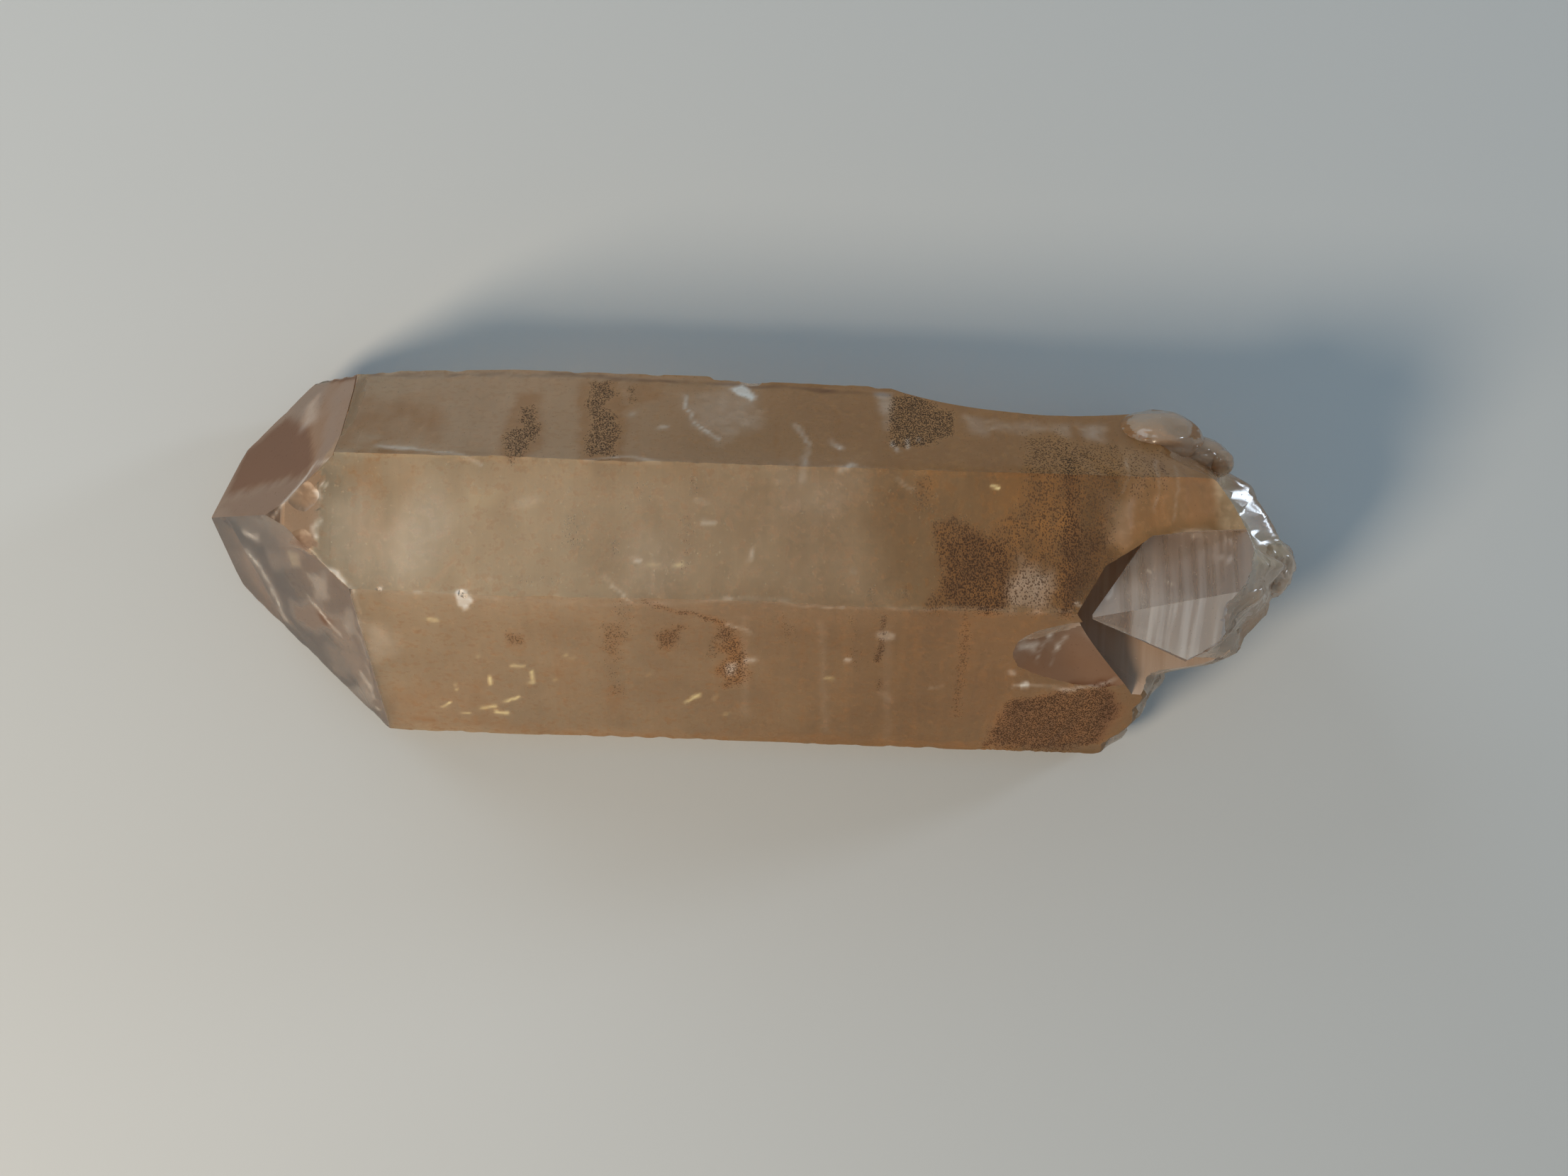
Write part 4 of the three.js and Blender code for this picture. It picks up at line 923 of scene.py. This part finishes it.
# Adds every patch to its level, a finish or painted light: full well inside the outline, and fading out
# across its ragged rim.
def addPatches(levels, x, y, rough, shown):
    reach = 2.5  # mm beyond the outline that a rim can still reach
    for chart, rows in patches.items():
        for kind, strength, soft, ragged, points in rows:
            outline = chartPlaces(chart, points)
            low, high = np.min(outline, 0) - reach, np.max(outline, 0) + reach
            near = shown & (x > low[0]) & (x < high[0]) & (y > low[1]) & (y < high[1])
            depth = insideDepth(x[near], y[near], outline) + ragged * rough[near]
            levels[kind][near] += strength * smoothStep(-soft, soft, depth)


# Adds every mark to its level, a finish or painted light: a bell curve across a line that wanders a little,
# uneven along it.
def addMarks(levels, x, y, rough, bend, shown):
    reach = 2  # mm beyond the line that a mark can still reach
    mean, swing = 0.75, 0.5  # of its strength along it
    for chart, rows in marks.items():
        for kind, strength, half, points in rows:
            if kind == "goldAndGlint":
                strength = min(goldMark["most"], strength * goldMark["stronger"])
                half = half * goldMark["narrower"]
            line = np.array(chartPlaces(chart, points))
            low, high = line.min(0) - reach, line.max(0) + reach
            near = shown & (x > low[0]) & (x < high[0]) & (y > low[1]) & (y < high[1])
            run = line[1:] - line[:-1]
            away = runDistance(x[near] + bend[0][near], y[near] + bend[1][near], line[:-1], run)
            uneven = mean + swing * rough[near]
            levels[kind][near] += strength * np.exp(-((away / half) ** 2)) * uneven


# The frost's rim: its places along Y and X, the stretch of Y where it wanders and how far, and half the width
# over which it fades.
frostRim = {
    "places": [(-20, -31.4), (-3.6, -31.4), (-3.3, -31.2), (-0.5, -34.4), (0, -34.2), (7, -34.1), (8, -33.3),
               (10, -32.5), (12, -32.4), (14, -32.8)],
    "wandersIn": (-0.5, 7),
    "wanders": 0.8,
    "fade": 0.12,
}

# The noises that the finishes use: scale, octaves, seed.
finishNoise = {
    "rough": (0.9, 3, 41),
    "rim": (1.5, 2, 43),
    "bendX": (0.8, 2, 61),
    "bendY": (0.8, 2, 62),
    "streak": ((0.62, 0.03, 0.03), 3, 71),
    "cloud": (0.26, 4, 72),
    "mottle": ((0.7, 0.45, 0.45), 3, 73),
}
mottling = {"range": (-0.4, 0.4), "least": 0.55, "more": 0.45}  # how unevenly the stain lies
veilRange = (-0.5, 0.5)
markBend = 0.25  # mm by which the marks wander
toneWander = 3

# How strongly each finish and each painted light lies on each of the forms that are named where they are
# given.
formLevels = {
    # Rust on the point's upper face, together with shade, paints the dark brown that the clear point shows:
    # painted shade.
    "rust": {"bare": 0.35, "farSideTip": 0.3, "nearSideTip": 0.25, "frostedUpper": 0.72, "laterUpper": 0.33,
             "frostedLower": 0.25, "pointUpper": 0.5, "band": 0.9, "lump": 0.55, "tail": 0.7, "scar": 0.35},
    # Painted shade: it darkens the point's upper face, the bites, the small crystal's low side and the scar
    # on the lower flank, where the clear or hollow quartz looks dim.
    "stainAndShade": {"pointUpper": 0.5, "bare": 0.6, "lowSide": 0.5, "scar": 0.8},
    "goldAndGlint": {"band": 0.15},
    "whiteAndHighlight": {"lump": 0.05, "tail": 0.1},
    # Painted sheen: a pale coat that lightens the small crystal's two sides, its near side most from a little
    # past its tip, and the left end of the upper flank.
    "paintedSheen": {"nearSide": 0.35, "nearSideRoot": 0.65, "farSide": 0.72, "earlyUpper": 0.07},
    "tone": {"laterPrism": 1, "lower": 0.28},
    "veil": {"streak": 0.25, "cloud": 0.75},
}
# On the notch's walls the rust is stain, and the sheen is painted light that lifts their shade.
wallLevels = {"rust": 0.65, "paintedSheen": 0.3}
bareFinish = {"from": -36.8, "frost": 0.5, "under": 0.15}
undersideFade = (1.0, 0.3)  # heights in mm

# The stretches along X in mm over which a form sets in, or fades where its name ends in Tip or begins with
# early.
stretches = {"laterUpper": (-22, 26), "earlyUpper": (-25, 0), "farSideTip": (31.5, 34.5),
             "nearSideTip": (29.5, 31.5), "nearSideRoot": (29.5, 31), "laterPrism": (-30, 34),
             "underside": (-33, -30)}

# The boxes in mm, along X, Y and Z, that hold the forms with no plane of their own.
regions = {
    "bite": ((-38, -33), (-2.5, 7), (23.2, 30)),
    "lump": ((28, 50), (7.5, 20), (12, 30)),
    "tail": ((40.5, 50), (-20, 3), (-1, 30)),
    "scar": ((20, 37), (-20, -4), (14, 30)),
    "wall": ((25, 50), (-20, 4), (-1, 30)),
}


# Every finish, and the painted shade, highlights and sheen, is worked out at each corner of each face, so
# that it stops sharply where a break cuts a grown face. The forms are masks: the frosted sides, the breaks on
# them and at the root, the bites by the point, and the small crystal's sides as the camera sees them.
def giveFinishesAndPaintedLight(piece):
    number, total, middle, flat = meshCorners(piece)
    spots = meshPoints(piece)
    x, y, z = spots[number].T
    upward = np.repeat(flat[:, 2], total)

    # A named noise at every face corner.
    def noiseAt(name):
        return namedNoise(spots, finishNoise[name])[number]

    # How far a form has set in along its stretch, from 0 to 1.
    def along(name, place=x):
        return smoothStep(*stretches[name], place)

    # Which face corners lie in a named box.
    def within(name):
        low, high = np.transpose(regions[name])
        return ((spots[number] > low) & (spots[number] < high)).all(1)

    small = sideCrystalAt(middle)
    side = np.repeat(np.where(small >= 0, -1, sideAt(middle, flat)), total)
    small = np.repeat(small, total)
    sideName = np.append(sideNames, "")[side]
    rough = noiseAt("rough")
    low, high = frostRim["wandersIn"]
    wander = frostRim["wanders"] * noiseAt("rim") * ((y > low) & (y < high))
    rim = np.interp(y, *zip(*frostRim["places"])) + wander
    frost = smoothStep(-frostRim["fade"], frostRim["fade"], x - rim) * (side >= 0)
    broken = (side < 0) & (small < 0)
    bite = (side < 0) & within("bite")
    bare = bite | ((sideName == "top") & (x > bareFinish["from"]) & (frost < 0.5))
    frost = np.maximum(frost, bareFinish["frost"] * bare)
    upper, lower = sideName == "upper", sideName == "lower"
    forms = {
        "bare": bare,
        "band": upper & (frost < 0.5),
        "lower": lower,
        "frostedUpper": frost * upper,
        "laterUpper": frost * upper * along("laterUpper"),
        "earlyUpper": upper * (1 - along("earlyUpper")),
        "frostedLower": frost * lower,
        "pointUpper": sideName == "pointUpper",
        "lump": broken & within("lump"),
        "tail": broken & within("tail"),
        "scar": broken & within("scar") & (upward > upwardness["steep"]),
        "farSide": small == 0,
        "farSideTip": (small == 0) * (1 - along("farSideTip")),
        "nearSide": small == 5,
        "nearSideTip": (small == 5) * (1 - along("nearSideTip")),
        "nearSideRoot": (small == 5) * along("nearSideRoot"),
        "lowSide": small == 4,
        "laterPrism": along("laterPrism", x + toneWander * rough),
        "streak": smoothStep(*veilRange, noiseAt("streak")),
        "cloud": smoothStep(*veilRange, noiseAt("cloud")),
    }
    onFloor = (upward > upwardness["level"]) & (np.abs(z - notch["floor"]) < sorting["floor"])
    steep = (upward < upwardness["steep"]) & (z > notch["wallFrom"])
    wall = broken & within("wall") & (steep | onFloor)

    giveAttribute(piece, "frost", frost)
    giveAttribute(piece, "broken", broken & (x > -30))
    underside = smoothStep(*undersideFade, z) * along("underside")
    giveAttribute(piece, "under", np.maximum(underside, bareFinish["under"] * bare))
    levels = {kind: np.zeros(len(x)) for kind in ("pits", *formLevels)}
    addPatches(levels, x, y, rough, (small < 0) & (upward > 0))
    bend = markBend * np.stack([noiseAt("bendX"), noiseAt("bendY")])
    addMarks(levels, x, y, rough, bend, upward > 0)
    mottle = smoothStep(*mottling["range"], noiseAt("mottle"))
    levels["rust"] *= mottling["least"] + mottling["more"] * mottle
    levels["pits"] *= 1.0 - wall
    for kind, shares in formLevels.items():
        for form, share in shares.items():
            levels[kind] += share * forms[form]
    fromAbove = smoothStep(*upwardness["sets"], upward)
    for kind, level in levels.items():
        if kind not in ("tone", "veil"):
            level = level * fromAbove
        giveAttribute(piece, kind, level + wallLevels.get(kind, 0) * wall)


# Adds a node, sets its properties, and links or sets its inputs.
def addNode(tree, kind, inputs, **settings):
    made = tree.nodes.new(kind)
    for name, value in settings.items():
        setattr(made, name, value)
    for name, value in inputs.items():
        if isinstance(value, bpy.types.NodeSocket):
            tree.links.new(value, made.inputs[name])
        else:
            made.inputs[name].default_value = value
    return made


# One arithmetic step on two values. Clamped, its result is held between 0 and 1.
def mathNode(tree, operation, a, b, clamp=False):
    return addNode(tree, "ShaderNodeMath", {0: a, 1: b}, operation=operation, use_clamp=clamp).outputs[0]


# From colour a to colour b, by amount.
def mixColour(tree, amount, a, b):
    a, b = ((*value, 1) if isinstance(value, tuple) else value for value in (a, b))
    return addNode(tree, "ShaderNodeMix", {0: amount, 6: a, 7: b}, data_type="RGBA").outputs[2]


# From value a to value b, by amount.
def mixValue(tree, amount, a, b):
    return addNode(tree, "ShaderNodeMix", {0: amount, 2: a, 3: b}, data_type="FLOAT").outputs[0]


# From 0 at low to 1 at high, level at both.
def ramp(tree, value, low, high):
    inputs = {"Value": value, "From Min": low, "From Max": high}
    return addNode(tree, "ShaderNodeMapRange", inputs, interpolation_type="SMOOTHSTEP").outputs[0]


# Colours, roughnesses and shares of milk, which is the part of the skin that scatters instead of letting
# light in.
quartzLook = {
    "ior": 1.544,
    "tint": (0.76, 0.57, 0.27, 1),
    "tintDensity": 18.0,
    "clear": {"colour": (0.70, 0.54, 0.42), "rough": 0.09, "milk": 0.0},
    "broken": {"colour": (0.92, 0.76, 0.60), "rough": 0.16, "milk": 0.34},
    "frost": {"colour": (1.0, 0.83, 0.58), "rough": 0.34, "milk": 0.26, "milkSpread": 0.2},
    "rootFrost": {"colour": (0.54, 0.33, 0.145)},
    "under": {"colour": (0.86, 0.70, 0.50), "rough": 0.5, "milk": 0.9},
    "rust": {"colour": (0.45, 0.21, 0.065), "milk": 0.4},
    # Dark brown for painted shade, and for dark stains and cracks.
    "stainAndShade": {"colour": (0.20, 0.085, 0.035), "rough": 0.55, "milk": 0.75},
    # A golden tint, and painted golden glints.
    "goldAndGlint": {"colour": (1.0, 0.80, 0.42), "milk": 0.6},
    # Pale frost, and painted highlights, glints and reflections.
    "whiteAndHighlight": {"colour": (0.88, 0.79, 0.70), "milk": 0.55},
    # Painted sheen: a pale colour laid where faces catch the light and where shade is lifted.
    "paintedSheen": {"colour": (0.95, 0.87, 0.81), "rough": 0.42, "milk": 0.6},
    "pits": {"colour": (0.21, 0.10, 0.04), "strength": 0.9, "milk": 0.2},
    "dots": {"colour": (0.085, 0.036, 0.010), "rough": 0.4, "scale": 6200.0, "longer": 1.5,
             "reach": (0.34, 0.6), "depth": 2.0, "draw": (-0.05, 0.05), "rim": (-0.12, 0.04),
             "faintest": 0.6},
    "grain": {"strength": 0.42, "milk": 0.3, "scale": 1500.0, "range": (0.5, 0.66), "flakes": 0.84,
              "flakeRange": (0.4, 0.62)},
    "bands": {"strength": 0.12, "range": (0.38, 0.62), "stretch": (1, 0.04, 0.04), "dimmest": 0.75},
    "bump": {"strength": 0.35, "distance": 0.00004},
}


# Clear quartz under skins of frost, stain and milk, with painted shade, painted highlights and glints, and a
# painted sheen laid on as colours. The etch pits are dots in Voronoi cells: a cell has a dot where the pits'
# level passes the cell's own draw, and a second draw sets the dot's size.
def makeQuartzMaterial():
    look = quartzLook
    material = bpy.data.materials.new("quartz")
    material.use_nodes = True
    tree = material.node_tree
    shader = tree.nodes["Principled BSDF"]
    output = tree.nodes["Material Output"]
    place = addNode(tree, "ShaderNodeTexCoord", {}).outputs["Object"]

    # What the skin holds under this name.
    def attribute(name):
        return addNode(tree, "ShaderNodeAttribute", {}, attribute_name=name).outputs["Fac"]

    # Object coordinates times a number for each axis.
    def stretched(stretch):
        return addNode(tree, "ShaderNodeMapping", {"Vector": place, "Scale": stretch}).outputs[0]

    # The grain's noise, in so many octaves.
    def noise(detail, stretch=(1, 1, 1)):
        inputs = {"Vector": stretched(stretch), "Scale": look["grain"]["scale"], "Detail": detail}
        return addNode(tree, "ShaderNodeTexNoise", inputs).outputs["Fac"]

    # The product of two values.
    def times(a, b, clamp=False):
        return mathNode(tree, "MULTIPLY", a, b, clamp)

    names = ("frost", "broken", "under", "tone", "pits", "rust", "whiteAndHighlight", "paintedSheen", "stainAndShade", "goldAndGlint", "veil")
    frost, broken, under, tone, pits, rust, whiteAndHighlight, paintedSheen, stainAndShade, goldAndGlint, veil = map(attribute, names)
    dot = look["dots"]
    cellInputs = {"Vector": stretched((dot["longer"], 1, 1)), "Scale": dot["scale"]}
    cells = addNode(tree, "ShaderNodeTexVoronoi", cellInputs)
    draws = addNode(tree, "ShaderNodeSeparateColor", {0: cells.outputs["Color"]}).outputs
    chosen = ramp(tree, mathNode(tree, "SUBTRACT", pits, draws[0]), *dot["draw"])
    reach = mixValue(tree, draws[1], *dot["reach"])
    spot = ramp(tree, mathNode(tree, "SUBTRACT", reach, cells.outputs["Distance"]), *dot["rim"])
    dots = times(times(chosen, spot), mixValue(tree, pits, dot["faintest"], 1.0))

    grain = noise(4.0)
    bands = ramp(tree, noise(3.0, look["bands"]["stretch"]), *look["bands"]["range"])
    grained = times(ramp(tree, grain, *look["grain"]["range"]), look["grain"]["strength"])
    grained = mathNode(tree, "ADD", grained, times(bands, look["bands"]["strength"]))
    flaky = ramp(tree, grain, *look["grain"]["flakeRange"])
    flaky = mixValue(tree, flaky, look["grain"]["flakes"], 1.0)
    whiteAndHighlightHere = times(whiteAndHighlight, flaky, True)
    goldAndGlintHere = times(goldAndGlint, flaky, True)
    paintedSheenHere = times(paintedSheen, mixValue(tree, bands, look["bands"]["dimmest"], 1.0), True)

    colour = mixColour(tree, broken, look["clear"]["colour"], look["broken"]["colour"])
    skinColour = mixColour(tree, tone, look["frost"]["colour"], look["rootFrost"]["colour"])
    skinColour = mixColour(tree, grained, skinColour, look["rust"]["colour"])
    colour = mixColour(tree, frost, colour, skinColour)
    colour = mixColour(tree, times(pits, look["pits"]["strength"], True), colour, look["pits"]["colour"])
    # Painted shade, painted highlights, painted glints and painted sheen are laid on as colours together with
    # the stains.
    coats = {"rust": rust, "stainAndShade": stainAndShade, "whiteAndHighlight": whiteAndHighlightHere, "goldAndGlint": goldAndGlintHere, "paintedSheen": paintedSheenHere,
             "dots": dots, "under": under}
    for name, amount in coats.items():
        colour = mixColour(tree, amount, colour, look[name]["colour"])
    tree.links.new(colour, shader.inputs["Base Color"])

    rough = mixValue(tree, broken, look["clear"]["rough"], look["broken"]["rough"])
    for name, amount in {"frost": frost, "paintedSheen": paintedSheenHere, "stainAndShade": stainAndShade}.items():
        rough = mixValue(tree, amount, rough, look[name]["rough"])
    rough = mathNode(tree, "ADD", rough, times(dots, dot["rough"]), True)
    rough = mixValue(tree, under, rough, look["under"]["rough"])
    tree.links.new(rough, shader.inputs["Roughness"])

    frostMilk, spread = look["frost"]["milk"], look["frost"]["milkSpread"]
    skin = mixValue(tree, veil, frostMilk * (1 - spread), frostMilk * (1 + spread))
    milk = mixValue(tree, frost, mixValue(tree, broken, look["clear"]["milk"], look["broken"]["milk"]), skin)
    milky = {"grain": times(grained, frost), "rust": rust, "stainAndShade": stainAndShade, "goldAndGlint": goldAndGlint, "whiteAndHighlight": whiteAndHighlightHere,
             "paintedSheen": paintedSheenHere, "pits": pits}
    for name, amount in milky.items():
        milk = mathNode(tree, "ADD", milk, times(amount, look[name]["milk"]))
    milk = mixValue(tree, under, mathNode(tree, "ADD", milk, dots, True), look["under"]["milk"])
    tree.links.new(mathNode(tree, "SUBTRACT", 1.0, milk, True), shader.inputs["Transmission Weight"])
    shader.inputs["IOR"].default_value = look["ior"]

    height = mathNode(tree, "SUBTRACT", times(noise(2.0), frost), times(dots, dot["depth"]))
    bump = {"Height": height, "Strength": look["bump"]["strength"], "Distance": look["bump"]["distance"]}
    tree.links.new(addNode(tree, "ShaderNodeBump", bump).outputs[0], shader.inputs["Normal"])
    tint = {"Color": look["tint"], "Density": look["tintDensity"]}
    volume = addNode(tree, "ShaderNodeVolumeAbsorption", tint)
    tree.links.new(volume.outputs[0], output.inputs["Volume"])
    return material


sharpAngle = 24  # degrees between two faces from which their edge stays sharp
quartz = makeCrystal()
giveFinishesAndPaintedLight(quartz)
quartz.data.materials.clear()
quartz.data.materials.append(makeQuartzMaterial())
quartz.data.polygons.foreach_set("use_smooth", np.ones(len(quartz.data.polygons), bool))
quartz.data.set_sharp_from_angle(angle=math.radians(sharpAngle))
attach(quartz, "root")
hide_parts("quartz_crystal")
print("quartz finished")

# A pale floor, a dim sky and three round lamps that face the crystal. Lengths are in metres.
studio = {
    "floor": (0.62, 0.62, 0.61),
    "floorRough": 0.8,
    "floorReach": 2,
    "floorLevel": -0.05 * mm,  # a hair below, so that the crystal's underside is met first
    "world": (0.70, 0.90, 1.05),
    "worldStrength": 0.25,
    "lamps": {
        "key": dict(at=(-0.22, -0.155, 0.265), size=0.12, power=0.74, colour=(1.0, 0.84, 0.65)),
        "window": dict(at=(-0.31, 0.30, 0.20), size=0.30, power=0.50, colour=(0.72, 0.87, 1.0)),
        "glint": dict(at=(0.4625, 0.224, 0.169), size=0.085, power=0.45, colour=(0.74, 0.86, 1.0)),
    },
}


# One square of floor, with its own material.
def makeFloor():
    mesh = bpy.data.meshes.new("floor")
    reach, level = studio["floorReach"], studio["floorLevel"]
    corners = [(-reach, -reach, level), (reach, -reach, level), (reach, reach, level), (-reach, reach, level)]
    mesh.from_pydata(corners, [], [(0, 1, 2, 3)])
    floor = bpy.data.objects.new("floor", mesh)
    bpy.context.scene.collection.objects.link(floor)
    paper = bpy.data.materials.new("floor")
    paper.use_nodes = True
    shader = paper.node_tree.nodes["Principled BSDF"]
    shader.inputs["Base Color"].default_value = (*studio["floor"], 1)
    shader.inputs["Roughness"].default_value = studio["floorRough"]
    mesh.materials.append(paper)


# The sky and the lamps, each turned so that its -Z looks at the origin.
def makeLight():
    world = bpy.data.worlds.new("studio")
    world.use_nodes = True
    background = world.node_tree.nodes["Background"]
    background.inputs["Color"].default_value = (*studio["world"], 1)
    background.inputs["Strength"].default_value = studio["worldStrength"]
    bpy.context.scene.world = world
    bpy.context.scene.view_settings.view_transform = "Standard"
    bpy.context.scene.view_settings.look = "Medium High Contrast"
    for name, facts in studio["lamps"].items():
        lamp = bpy.data.lights.new(name, "AREA")
        lamp.shape = "DISK"
        lamp.size = facts["size"]
        lamp.energy = facts["power"]
        lamp.color = facts["colour"]
        light = bpy.data.objects.new(name, lamp)
        light.location = facts["at"]
        x, y, z = facts["at"]
        light.rotation_euler = (math.atan2(math.hypot(x, y), z), 0, math.atan2(x, -y))
        bpy.context.scene.collection.objects.link(light)


# The camera, looking straight down.
def makeCamera():
    lens = bpy.data.cameras.new("camera")
    lens.lens = cameraFacts["lens"]
    lens.sensor_width = cameraFacts["sensor"]
    lens.clip_start = cameraFacts["nearest"]
    camera = bpy.data.objects.new("camera", lens)
    camera.location = cameraFacts["at"]
    camera.rotation_euler = (0, 0, math.radians(cameraFacts["turn"]))
    bpy.context.scene.collection.objects.link(camera)
    bpy.context.scene.camera = camera


makeFloor()
makeLight()
makeCamera()
print("studio ready")
